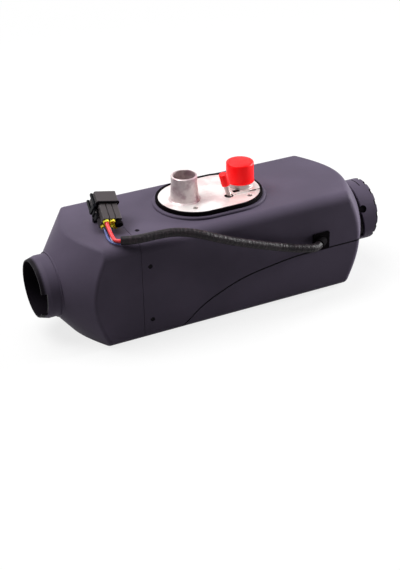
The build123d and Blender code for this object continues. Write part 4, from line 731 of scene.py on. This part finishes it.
@dataclass(frozen=True)
class Sleeve(Finish):
    """Wrapped sleeve of the harness, with a paler colour on its ridges as a painted highlight.

    Its turns, strands, folds and weave are counted along and around the cable, whose own UV map they follow.
    """

    # painted highlight: paler colour for the ridges
    ridge_highlight: Colour
    turns: float = 46.0
    strands: Point = (34.0, 9.0, 1.0)
    folds: Point = (95.0, 3.0, 1.0)
    weave: tuple[float, float] = (900.0, 44.0 * pi)
    relief: float = 1.1 * MM

    def lay(self, paint: Paint) -> None:
        """Lay the finish on a new material.

        Args:
            paint: The material's tree.
        """
        along, around, _ = paint.axes(paint.node("ShaderNodeTexCoord").outputs["UV"])
        lap = (along * self.turns + around).fraction().smooth(0.0, 0.14)
        strands = paint.noise(1.0, 3.0, paint.coordinates(Coordinates.UV, self.strands))
        folds = paint.noise(1.0, 2.0, paint.coordinates(Coordinates.UV, self.folds))
        weave = (along * self.weave[0]).sine() * (around * self.weave[1]).sine() * 0.5 + 0.5
        # painted highlight: a paler colour on the ridges of the relief
        ridge_highlight = (strands * 0.6 + folds * 0.7).smooth(0.55, 1.0)
        paint.set("Base Color", paint.between(self.colour, self.ridge_highlight, ridge_highlight))
        paint.roughen(0.46, (strands, -0.2))
        paint.set("Specular IOR Level", 0.16)
        paint.bump(lap * 0.15 + strands * 0.6 + folds * 0.7 + weave * 0.05, self.relief)


@dataclass(frozen=True)
class Insulation(Finish):
    """Smooth insulation of a wire, with its scuffs per metre."""

    roughness: float = 0.35
    scuffs: float = 260.0
    relief: float = 0.05 * MM

    def lay(self, paint: Paint) -> None:
        """Lay the finish on a new material.

        Args:
            paint: The material's tree.
        """
        scuffs = paint.noise(self.scuffs, 3.0)
        paler = shaded(self.colour, 1.15, 0.02)
        paint.set("Base Color", paint.between(self.colour, paler, scuffs.smooth(0.45, 0.8)))
        paint.set("Roughness", self.roughness + scuffs * 0.15)
        paint.bump(scuffs, self.relief)


@dataclass(frozen=True)
class Board(Finish):
    """Lacquered circuit board, with its copper tracks per metre."""

    copper: Colour = (0.02, 0.14, 0.06)
    tracks: float = 260.0
    relief: float = 0.05 * MM

    def lay(self, paint: Paint) -> None:
        """Lay the finish on a new material.

        Args:
            paint: The material's tree.
        """
        tracks = paint.cells(self.tracks).smooth(0.28, 0.34)
        paint.set("Base Color", paint.between(self.colour, self.copper, tracks))
        paint.roughen(0.35, (tracks, 0.1))
        paint.bump(tracks, self.relief)


CASE = CasePlastic("case_plastic", (0.106, 0.087, 0.128))
INNER = Moulding("inner_plastic", (0.03, 0.03, 0.032), roughness=0.55)
RUBBER = Moulding("black_rubber", (0.003, 0.002, 0.003), roughness=0.8, specular=0.03, grain=900.0)
CONNECTOR = Moulding("connector_plastic", (0.088, 0.076, 0.080), roughness=0.4, specular=0.12, grain=1800.0)
BLACK_CLIP = Moulding("black_clip", (0.004, 0.004, 0.006), roughness=0.35, specular=0.05)
GASKET = Moulding("gasket_fibre", (0.26, 0.26, 0.25), roughness=0.8, grain=600.0)
MAGNET = Moulding("magnet_ferrite", (0.06, 0.06, 0.06), roughness=0.6)
PLATE = Casting("plate_casting", (0.88, 0.85, 0.83), (0.68, 0.56, 0.56), metallic=0.45, roughness=0.42, shade_boxes=(
    # painted shade in the pad's pocket between the fuel pipe and the air spigot
    ShadeBox((0.0239, -0.0131, 0.1040), (0.0311, -0.0079, 0.1069)),
    # painted shade in the hole round the fuel pipe's foot
    ShadeBox((0.0130, -0.0192, 0.0900), (0.0222, -0.0102, 0.1057)),
    # painted shade on the air spigot above the pad, darker than the plate's top
    ShadeBox((0.0220, -0.0155, 0.10735), (0.0530, 0.0155, 0.1400), shade_strength=0.42),
))
SPIGOT = Casting("spigot_casting", (0.68, 0.58, 0.58), (0.38, 0.26, 0.29), metallic=0.6, roughness=0.46, stains=90.0)
ENGINE = Casting("engine_casting", (0.62, 0.61, 0.60), (0.44, 0.43, 0.42))
PLATED = Steel("plated_steel", (0.62, 0.62, 0.64))
PIPE = Steel("fuel_pipe_steel", (0.42, 0.33, 0.32), roughness=0.4)
STAINLESS = Steel("stainless_steel", (0.50, 0.49, 0.47), roughness=0.42)
LAMINATIONS = Steel("varnished_laminations", (0.55, 0.36, 0.18), roughness=0.45)
RED_CAP = CapPlastic("red_cap_plastic", (0.98, 0.001, 0.003))
SLEEVE = Sleeve("harness_sleeve", (0.006, 0.004, 0.006), (0.050, 0.034, 0.042))
RED_WIRE = Insulation("red_insulation", (0.86, 0.03, 0.04))
WHITE_WIRE = Insulation("white_insulation", (0.62, 0.62, 0.74))
BLUE_WIRE = Insulation("blue_insulation", (0.10, 0.13, 0.34))
YELLOW_SEAL = Insulation("yellow_silicone", (1.0, 0.86, 0.02), roughness=0.4)
BOARD = Board("board_green", (0.04, 0.24, 0.09))


# ---- tools ----
def dress(finish: Finish, *nodes: str) -> None:
    """Give CAD nodes a finish.

    Args:
        finish: The finish.
        nodes: Names of the nodes.
    """
    for name in nodes:
        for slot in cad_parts[name].material_slots:
            slot.material = finish.material()
        LOG.info("%s: %s", name, finish.name)


def deselect() -> None:
    """Leave nothing selected."""
    bpy.ops.object.select_all(action="DESELECT")


class Element(Enum):
    """What is selected in a piece."""

    VERTEX = "VERT"
    EDGE = "EDGE"
    FACE = "FACE"


@contextmanager
def selected(piece: Piece, element: Element, wanted: Callable[..., bool]) -> Iterator[None]:
    """Hold a piece open with some of its elements selected.

    Args:
        piece: The piece.
        element: What is selected in it.
        wanted: Whether one is, from a vertex's place, an edge's two ends or a face.

    Returns:
        The context in which the piece is open.
    """
    bpy.context.view_layer.objects.active = piece
    piece.select_set(True)
    bpy.ops.object.mode_set(mode="EDIT")
    bpy.ops.mesh.select_mode(type=element.value)
    bpy.ops.mesh.select_all(action="DESELECT")
    bpy.ops.object.mode_set(mode="OBJECT")
    mesh = piece.data
    places = [vertex.co.copy() for vertex in mesh.vertices]
    for vertex in mesh.vertices if element is Element.VERTEX else ():
        vertex.select = wanted(vertex.co)
    for edge in mesh.edges if element is Element.EDGE else ():
        edge.select = wanted(*(places[index] for index in edge.vertices))
    for face in mesh.polygons if element is Element.FACE else ():
        face.select = wanted(face)
    bpy.ops.object.mode_set(mode="EDIT")
    yield
    bpy.ops.object.mode_set(mode="OBJECT")


def place_mesh(piece: Piece) -> None:
    """Move a piece's place, turn and size into its mesh.

    Args:
        piece: The piece.
    """
    deselect()
    bpy.context.view_layer.objects.active = piece
    piece.select_set(True)
    bpy.ops.object.transform_apply(location=True, rotation=True, scale=True)


def finish_piece(piece: Piece, finish: Finish, angle: float = 35.0) -> None:
    """Shade a new piece smooth and give it a finish.

    Args:
        piece: The piece.
        finish: The finish.
        angle: Angle between two faces, in degrees, from which their edge stays sharp.
    """
    deselect()
    bpy.context.view_layer.objects.active = piece
    piece.select_set(True)
    bpy.ops.object.shade_smooth_by_angle(angle=radians(angle))
    piece.data.materials.append(finish.material())
    LOG.info("%s: %s", piece.name, finish.name)


# ---- studio ----
@dataclass
class PhotoCamera:
    """Camera of the photograph, in the heater's frame."""

    place: Point = (-0.45129, -0.92153, 0.58723)
    yaw: float = 25.684
    pitch: float = 29.558
    roll: float = -1.272
    lens: float = 74.3028

    def build(self) -> None:
        """Add the camera and make it the scene's own."""
        yaw, pitch, roll = (radians(angle) for angle in (self.yaw, self.pitch, self.roll))
        ahead = Vector((sin(yaw) * cos(pitch), cos(yaw) * cos(pitch), -sin(pitch)))
        right = Vector((cos(yaw), -sin(yaw), 0.0))
        up = right.cross(ahead)
        right, up = (cos(roll) * right + sin(roll) * up, cos(roll) * up - sin(roll) * right)
        turn = Matrix((right, up, -ahead)).transposed()
        data = bpy.data.cameras.new("photo_camera")
        data.lens = self.lens
        data.sensor_width = 36.0
        data.clip_start = 0.01
        camera = bpy.data.objects.new("photo_camera", data)
        camera.matrix_world = Matrix.Translation(self.place) @ turn.to_4x4()
        bpy.context.scene.collection.objects.link(camera)
        bpy.context.scene.camera = camera


@dataclass(frozen=True)
class Lamp:
    """One softbox that looks at the heater."""

    name: str
    place: Point
    size: float
    power: float

    def build(self, target: Vector) -> None:
        """Add the lamp.

        Args:
            target: Point that it is aimed at.
        """
        data = bpy.data.lights.new(self.name, "AREA")
        data.shape = "SQUARE"
        data.size = self.size
        data.energy = self.power
        lamp = bpy.data.objects.new(self.name, data)
        aim = (target - Vector(self.place)).to_track_quat("-Z", "Y")
        lamp.matrix_world = Matrix.Translation(self.place) @ aim.to_matrix().to_4x4()
        bpy.context.scene.collection.objects.link(lamp)


@dataclass
class Studio:
    """White floor, pale surroundings and soft light.

    Args:
        floor_size: Side of the floor.
        ambient: Strength of the even light from all around.
        floor_shades: Grey of the floor, for the light and for the eye.
        glow: How far the floor shines by itself to the eye, near the heater.
        fade: Distances over which the floor turns fully white.
        lamps: The softboxes.
    """

    floor_size: float = 12.0
    ambient: float = 0.03
    floor_shades: tuple[float, float] = (0.30, 0.95)
    glow: float = 0.8
    fade: tuple[float, float] = (0.4, 1.1)
    lamps: tuple[Lamp, ...] = (
        Lamp("top_softbox", (-0.2, 0.5, 1.5), 1.1, 19.0),
        Lamp("outlet_softbox", (-1.0, 0.35, 1.5), 0.7, 15.0),
        Lamp("intake_softbox", (1.5, -0.1, 0.42), 0.5, 32.0),
    )

    def floor(self) -> None:
        """Add the floor, which shows white to the camera and keeps the shadow."""
        deselect()
        bpy.ops.mesh.primitive_plane_add(size=self.floor_size, location=(0, 0, 0))
        floor = bpy.context.object
        floor.name = "floor"
        paint = Paint("floor_white")
        paint.set("Roughness", 0.9)
        paint.set("Specular IOR Level", 0.1)
        seen = paint.seen()
        paint.set("Base Color", paint.between(*((shade,) * 3 for shade in self.floor_shades), seen))
        x, y, _ = paint.axes(paint.coordinates())
        far = distance(x, y).smooth(*self.fade)
        light = paint.node("ShaderNodeEmission", Color=(1.0, 1.0, 1.0, 1.0), Strength=1.0)
        mix = paint.node("ShaderNodeMixShader")
        sources = (seen * (far * (1 - self.glow) + self.glow), paint.shader.outputs["BSDF"], light.outputs["Emission"])
        for target, source in zip(mix.inputs, sources):
            paint.connect(source, target)
        paint.connect(mix.outputs["Shader"], paint.output.inputs["Surface"])
        floor.data.materials.append(paint.material)

    def world(self) -> None:
        """White surroundings to the eye, and a weak even light."""
        world = bpy.data.worlds.new("studio_world")
        world.use_nodes = True
        tree = Tree(world.node_tree)
        background = world.node_tree.nodes["Background"]
        background.inputs["Color"].default_value = (1.0, 1.0, 1.0, 1.0)
        tree.connect(tree.seen() * (1.0 - self.ambient) + self.ambient, background.inputs["Strength"])
        bpy.context.scene.world = world

    def build(self) -> None:
        """Set up the whole studio."""
        self.floor()
        self.world()
        low, high = CAD_BOX
        target = (Vector(low) + Vector(high)) / 2
        for lamp in self.lamps:
            lamp.build(target)
        bpy.context.scene.view_settings.view_transform = "Standard"


# ---- harness ----
class Stiffness(Enum):
    """How stiff a cord is."""

    LIMP = "limp"
    MEDIUM = "medium"


@dataclass(frozen=True)
class Strand:
    """One free cord on its route.

    Args:
        node: CAD node that it stands for.
        radius: Its radius in metres.
        route: Its route's points in metres, in the heater's frame.
        finish: Its finish.
        slot: Name of its material slot; not used.
    """

    node: str
    radius: float
    route: tuple[Point, ...]
    finish: Finish
    slot: str
    stiffness: Stiffness = Stiffness.LIMP

    def length(self, piece: Piece) -> float:
        """Measure a curve's own line.

        Args:
            piece: The curve.

        Returns:
            Its length in metres.
        """
        mesh = bpy.data.meshes.new_from_object(piece)
        places = [vertex.co.copy() for vertex in mesh.vertices]
        bpy.data.meshes.remove(mesh)
        return sum((b - a).length for a, b in zip(places, places[1:]))

    def build(self, with_pieces: Sequence[str]) -> None:
        """Args:
            with_pieces: Names of the pieces that it carries; not used.
        """
        name = self.node + "_cord"
        data = bpy.data.curves.new(name, "CURVE")
        data.dimensions = "3D"
        spline = data.splines.new("NURBS")
        spline.points.add(len(self.route) - 1)
        for point, place in zip(spline.points, self.route):
            point.co = (*place, 1.0)
        spline.order_u = 3
        spline.use_endpoint_u = True
        spline.resolution_u = 12
        piece = bpy.data.objects.new(name, data)
        bpy.context.scene.collection.objects.link(piece)
        bpy.context.view_layer.update()
        length = self.length(piece)
        data.bevel_depth = self.radius
        data.bevel_resolution = 8
        data.use_fill_caps = True
        data.materials.append(self.finish.material())
        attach(piece, "heater")
        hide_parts(self.node)
        LOG.info("%s: %.1f mm long", name, length / MM)


CABLE_ROUTE: tuple[Point, ...] = (
    (0.0905, -0.0633, 0.0577),
    (0.0845, -0.0678, 0.0573),
    (0.0758, -0.0683, 0.0595),
    (0.0646, -0.0666, 0.0611),
    (0.0484, -0.0641, 0.0655),
    (0.0283, -0.0649, 0.0729),
    (0.0102, -0.0649, 0.0795),
    (-0.0079, -0.0655, 0.0870),
    (-0.0234, -0.0657, 0.0941),
    (-0.0362, -0.0639, 0.0998),
    (-0.0483, -0.0609, 0.1034),
    (-0.0609, -0.0580, 0.1056),
    (-0.0751, -0.0566, 0.1058),
    (-0.0870, -0.0564, 0.1058),
    (-0.0985, -0.0556, 0.1056),
    (-0.1096, -0.0504, 0.1052),
)
RED_ROUTE: tuple[Point, ...] = (
    (-0.1102, -0.0517, 0.1058),
    (-0.1146, -0.0496, 0.1056),
    (-0.1144, -0.0424, 0.1063),
    (-0.1132, -0.0294, 0.1099),
    (-0.1121, -0.0204, 0.1153),
)
WHITE_ROUTE: tuple[Point, ...] = (
    (-0.1087, -0.0487, 0.1030),
    (-0.1131, -0.0467, 0.1028),
    (-0.1150, -0.0396, 0.1028),
    (-0.1086, -0.0255, 0.1025),
    (-0.1075, -0.0164, 0.1079),
)
BLUE_ROUTE: tuple[Point, ...] = (
    (-0.1100, -0.0515, 0.1026),
    (-0.1144, -0.0495, 0.1024),
    (-0.1178, -0.0408, 0.1030),
    (-0.1144, -0.0255, 0.1036),
    (-0.1134, -0.0164, 0.1091),
)


@dataclass
class Harness:
    """Sleeved cable along the heater's side, its grommet and its three wires."""

    cable: Strand = Strand("harness_cable", 4.1 * MM, CABLE_ROUTE, SLEEVE, "cable_sleeve", Stiffness.MEDIUM)
    wires: tuple[Strand, ...] = (
        Strand("red_wire", 1.7 * MM, RED_ROUTE, RED_WIRE, "red_wire"),
        Strand("white_wire", 1.0 * MM, WHITE_ROUTE, WHITE_WIRE, "white_wire"),
        Strand("blue_wire", 1.0 * MM, BLUE_ROUTE, BLUE_WIRE, "blue_wire"),
    )

    def build(self) -> None:
        """Add the cable and the wires, and dress what the cable leaves the case through."""
        dress(RUBBER, "harness_grommet", "inner_lead")
        self.cable.build(["harness_grommet", "connector_housing", "connector_shroud", "connector_face_seal",
                          "connector_clip", "connector_latch", "blanking_plug", "wire_seals"])
        for wire in self.wires:
            wire.build(["wire_seals"])


@dataclass
class Connector:
    """Sealed connector on the cable's end."""

    def build(self) -> None:
        """Dress the connector's pieces."""
        dress(CONNECTOR, "connector_housing", "connector_shroud")
        dress(RUBBER, "connector_face_seal", "blanking_plug")
        dress(BLACK_CLIP, "connector_clip", "connector_latch")
        dress(YELLOW_SEAL, "wire_seals")


# ---- the heater ----
@dataclass
class Case:
    """Shells, hood and intake cap."""

    def build(self) -> None:
        """Dress the case."""
        dress(CASE, "outlet_hood", "flange_shell", "cover_shell", "intake_grille")


@dataclass(frozen=True)
class PlateOutline:
    """Rounded outline of the mounting plate, as the photograph shows it."""

    middle: float = 3.7 * MM
    half_length: float = 50.6 * MM
    half_width: float = 35.8 * MM
    sides: int = 128

    def slab(self, name: str, grow: float, foot: float, top: float) -> Piece:
        """Model a slab of the outline, grown on all sides.

        Args:
            name: Name of the piece.
            grow: How far it reaches past the plate.
            foot: Its lowest height.
            top: Its highest height.

        Returns:
            The slab.
        """
        deselect()
        bpy.ops.mesh.primitive_cylinder_add(vertices=self.sides, radius=self.half_width + grow, depth=top - foot,
                                            location=(self.middle, 0.0, (top + foot) / 2))
        slab = bpy.context.object
        slab.name = name
        slab.data.name = name
        place_mesh(slab)
        stretch = self.half_length - self.half_width
        for side in (-1, 1):
            with selected(slab, Element.VERTEX, lambda place: (place.x - self.middle) * side > NEAR):
                bpy.ops.transform.translate(value=(side * stretch, 0.0, 0.0))
        return slab

    def ring(self, name: str, inner: float, outer: float, foot: float, top: float) -> Piece:
        """Model a ring that follows the outline.

        Args:
            name: Name of the piece.
            inner: Where it starts, past the plate.
            outer: Where it ends, past the plate.
            foot: Its lowest height.
            top: Its highest height.

        Returns:
            The ring.
        """
        ring = self.slab(name, outer, foot, top)
        with selected(ring, Element.FACE, lambda face: abs(face.normal.z) > LEVEL):
            bpy.ops.mesh.inset(thickness=outer - inner)
            bpy.ops.mesh.bridge_edge_loops()
        return ring


@dataclass
class Seal:
    """Rubber seal that stands proud of the mounting plate, and the case's lip round it."""

    outline: PlateOutline = PlateOutline()
    clearance: float = 0.1 * MM
    width: float = 2.6 * MM
    foot: float = 100.6 * MM
    top: float = 106.8 * MM
    rounding: float = 0.5 * MM
    lip_width: float = 3.1 * MM
    lip_top: float = 103.1 * MM
    lip_foot: float = 100.3 * MM
    lip_rounding: float = 1.6 * MM

    def round_top(self, piece: Piece, level: float, offset: float, reach: float = 0.0) -> None:
        """Round a ring's upper edges.

        Args:
            piece: The ring.
            level: Height of the edges.
            offset: Size of the rounding.
            reach: Edges nearer than this to the plate's outline stay sharp.
        """
        near = self.outline.half_width + reach
        with selected(piece, Element.EDGE, lambda a, b: min(a.z, b.z) > level - NEAR and (
                reach == 0.0 or min(self.away(a), self.away(b)) > near)):
            bpy.ops.mesh.bevel(offset=offset, segments=4, affect="EDGES")

    def away(self, place: Vector) -> float:
        """Measure how far a place is from the line between the outline's two centres.

        Args:
            place: The place.

        Returns:
            The distance.
        """
        stretch = self.outline.half_length - self.outline.half_width
        along = max(-stretch, min(stretch, place.x - self.outline.middle))
        return Vector((place.x - self.outline.middle - along, place.y)).length

    def build(self) -> None:
        """Model the ring and the lip."""
        outer = self.clearance + self.width
        ring = self.outline.ring("flange_seal_ring", self.clearance, outer, self.foot, self.top)
        self.round_top(ring, self.top, self.rounding)
        finish_piece(ring, RUBBER)
        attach(ring, "heater")
        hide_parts("flange_seal")
        lip = self.outline.ring("case_lip", outer, outer + self.lip_width, self.lip_foot, self.lip_top)
        self.round_top(lip, self.lip_top, self.lip_rounding, outer + self.lip_width / 2)
        finish_piece(lip, CASE)
        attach(lip, "heater")


@dataclass
class PlateEnd:
    """Intake end of the mounting plate and of the raised pad on it."""

    outline: PlateOutline = PlateOutline()
    rim: float = 4.1 * MM
    rim_start: float = 8.0 * MM
    start: float = 39.6 * MM
    foot: float = 104.0 * MM
    plate_top: float = 106.02 * MM
    pad_top: float = 107.02 * MM
    pad_half_width: float = 15.5 * MM
    pad_inset: float = 0.1 * MM

    def cut(self, piece: Piece, place: Point, normal: Point) -> None:
        """Cut a piece by a plane and close it.

        Args:
            piece: The piece.
            place: Point of the plane.
            normal: Side of the plane that is kept.
        """
        with selected(piece, Element.FACE, lambda face: True):
            bpy.ops.mesh.bisect(plane_co=place, plane_no=normal, use_fill=True, clear_inner=True)

    def build(self) -> None:
        """Model the plate's end and the pad's end."""
        plate = self.outline.ring("plate_end", -self.rim, 0.0, self.foot, self.plate_top)
        self.cut(plate, (self.rim_start, 0.0, 0.0), (1.0, 0.0, 0.0))
        pad = self.outline.slab("pad_end", -self.pad_inset, self.foot, self.pad_top)
        self.cut(pad, (self.start, 0.0, 0.0), (1.0, 0.0, 0.0))
        for side in (-1.0, 1.0):
            self.cut(pad, (0.0, side * self.pad_half_width, 0.0), (0.0, -side, 0.0))
        for piece in (plate, pad):
            finish_piece(piece, PLATE)
            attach(piece, "heater")


@dataclass
class AirCap:
    """Red transport cap on the air spigot, with a softly domed top and a rolled foot.

    Each of the dome's rings has its width, as a share of the radius, and its rise, as a share of the dome's height.
    """

    middle: float = 37.4 * MM
    radius: float = 13.8 * MM
    wall: float = 1.5 * MM
    foot: float = 112.3 * MM
    top: float = 132.6 * MM
    dome: float = 0.8 * MM
    shoulder: float = 1.3 * MM
    floor_thickness: float = 1.8 * MM
    bead: float = 0.35 * MM
    bead_height: float = 1.6 * MM
    sides: int = 96
    dome_rings: tuple[tuple[float, float], ...] = ((0.16, 0.5), (0.22, 0.28), (0.28, 0.16), (0.2, 0.06))

    def outside(self, face: bpy.types.MeshPolygon) -> bool:
        """Whether a face belongs to the outer wall."""
        away = Vector((face.center.x - self.middle, face.center.y)).length
        return abs(face.normal.z) < UPRIGHT and away > self.radius - self.wall

    def cup(self) -> Piece:
        """Model the closed cup with its bore.

        Returns:
            The cup, with its mesh in place.
        """
        deselect()
        body_top = self.top - self.dome
        bpy.ops.mesh.primitive_cylinder_add(vertices=self.sides, radius=self.radius - self.bead,
                                            depth=body_top - self.foot,
                                            location=(self.middle, 0.0, (body_top + self.foot) / 2))
        cap = bpy.context.object
        place_mesh(cap)
        with selected(cap, Element.FACE, lambda face: face.normal.z < -LEVEL):
            bpy.ops.mesh.inset(thickness=self.wall - self.bead)
            reach = body_top - self.floor_thickness - self.foot
            bpy.ops.mesh.extrude_region_move(TRANSFORM_OT_translate={"value": (0.0, 0.0, reach)})
        return cap

    def crown(self, cap: Piece) -> None:
        """Raise the top into a low dome, ring by ring.

        Args:
            cap: The cup.
        """
        body_top = self.top - self.dome
        with selected(cap, Element.FACE, lambda face: face.normal.z > LEVEL and face.center.z > body_top - NEAR):
            for width, rise in self.dome_rings:
                bpy.ops.mesh.inset(thickness=(self.radius - self.bead) * width)
                bpy.ops.transform.translate(value=(0.0, 0.0, self.dome * rise))
        with selected(cap, Element.EDGE, lambda a, b: max(abs(a.z - body_top), abs(b.z - body_top)) < NEAR):
            bpy.ops.mesh.bevel(offset=self.shoulder, segments=5, affect="EDGES")

    def rim(self, cap: Piece) -> None:
        """Roll a low bead round the foot of the cap.

        Args:
            cap: The cup.
        """
        level = self.foot + self.bead_height
        with selected(cap, Element.FACE, self.outside):
            bpy.ops.mesh.bisect(plane_co=(0.0, 0.0, level), plane_no=(0.0, 0.0, 1.0))
        with selected(cap, Element.FACE, lambda face: self.outside(face) and face.center.z < level + NEAR):
            bpy.ops.mesh.extrude_region_shrink_fatten(TRANSFORM_OT_shrink_fatten={"value": self.bead})

    def build(self) -> None:
        """Model the cap, dress it and let it stand for the plain one."""
        cap = self.cup()
        cap.name = "air_cap_cup"
        cap.data.name = cap.name
        self.crown(cap)
        self.rim(cap)
        with selected(cap, Element.FACE, lambda face: True):
            bpy.ops.mesh.normals_make_consistent(inside=False)
        finish_piece(cap, RED_CAP, CAP_EDGE)
        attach(cap, "air_transport_cap")
        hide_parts("transport_cap")


@dataclass
class FuelCap:
    """Small red cap that leans with the fuel pipe."""

    pipe_foot: Point = (17.6 * MM, -14.7 * MM, 106.0 * MM)
    lean: float = 15.0
    radius: float = 4.0 * MM
    bore: float = 2.7 * MM
    foot: float = 12.6 * MM
    top: float = 25.0 * MM
    end: float = 1.2 * MM
    rounding: float = 0.9 * MM
    sides: int = 64

    def build(self) -> None:
        """Model the cap on the pipe's line, dress it and let it stand for the plain one."""
        deselect()
        along = Vector((-sin(radians(self.lean)), 0.0, cos(radians(self.lean))))
        depth = self.top - self.foot
        middle = Vector(self.pipe_foot) + along * (self.top + self.foot) / 2
        bpy.ops.mesh.primitive_cylinder_add(vertices=self.sides, radius=self.radius, depth=depth, location=middle,
                                            rotation=(0.0, -radians(self.lean), 0.0))
        cap = bpy.context.object
        cap.name = "fuel_cap_cup"
        cap.data.name = cap.name
        with selected(cap, Element.FACE, lambda face: face.normal.z < -LEVEL):
            bpy.ops.mesh.inset(thickness=self.radius - self.bore)
            bpy.ops.mesh.extrude_region_shrink_fatten(TRANSFORM_OT_shrink_fatten={"value": self.end - depth})
        with selected(cap, Element.EDGE, lambda a, b: min(a.z, b.z) > depth / 2 - NEAR):
            bpy.ops.mesh.bevel(offset=self.rounding, segments=4, affect="EDGES")
        place_mesh(cap)
        finish_piece(cap, RED_CAP, CAP_EDGE)
        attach(cap, "fuel_transport_cap")
        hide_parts("fuel_pipe_cap")


@dataclass
class Flange:
    """Mounting plate with its spigots and fuel pipe."""

    def build(self) -> None:
        """Dress what stands on the mounting plate."""
        dress(PLATE, "heat_exchanger", "blower_housing")
        dress(SPIGOT, "exhaust_spigot")
        dress(PIPE, "fuel_pipe")


@dataclass
class Engine:
    """Burner, blower, motor, fan and control unit inside the case."""

    def build(self) -> None:
        """Dress the inner pieces."""
        dress(ENGINE, "burner_head", "blower_cover", "combustion_impeller")
        dress(STAINLESS, "burner_tube", "glow_plug_screen", "sensor_clip", "motor_shaft")
        dress(PLATED, "burner_screws", "blower_screws", "glow_plug", "motor_can", "motor_bearings", "motor_bolts")
        dress(PLATED, "fan_nut", "overheat_sensor")
        dress(GASKET, "burner_gasket", "blower_gasket")
        dress(MAGNET, "motor_magnets")
        dress(LAMINATIONS, "motor_armature")
        dress(INNER, "motor_end_cap", "fan_wheel", "fan_shroud", "control_box", "control_lid")
        dress(BOARD, "circuit_board")


class SubAssembly(Protocol):
    """Anything that builds itself into the scene."""

    def build(self) -> None:
        """Model and dress its pieces."""


def main() -> None:
    """Build every sub-assembly and the studio in order."""
    logging.basicConfig(level=logging.INFO, format="%(message)s")
    groups: tuple[SubAssembly, ...] = (PhotoCamera(), Harness(), Connector(), Case(), Seal(), PlateEnd(), AirCap(),
                                       FuelCap(), Flange(), Engine(), Studio())
    for group in groups:
        group.build()
        LOG.info("%s built", type(group).__name__)


if __name__ == "__main__":
    main()
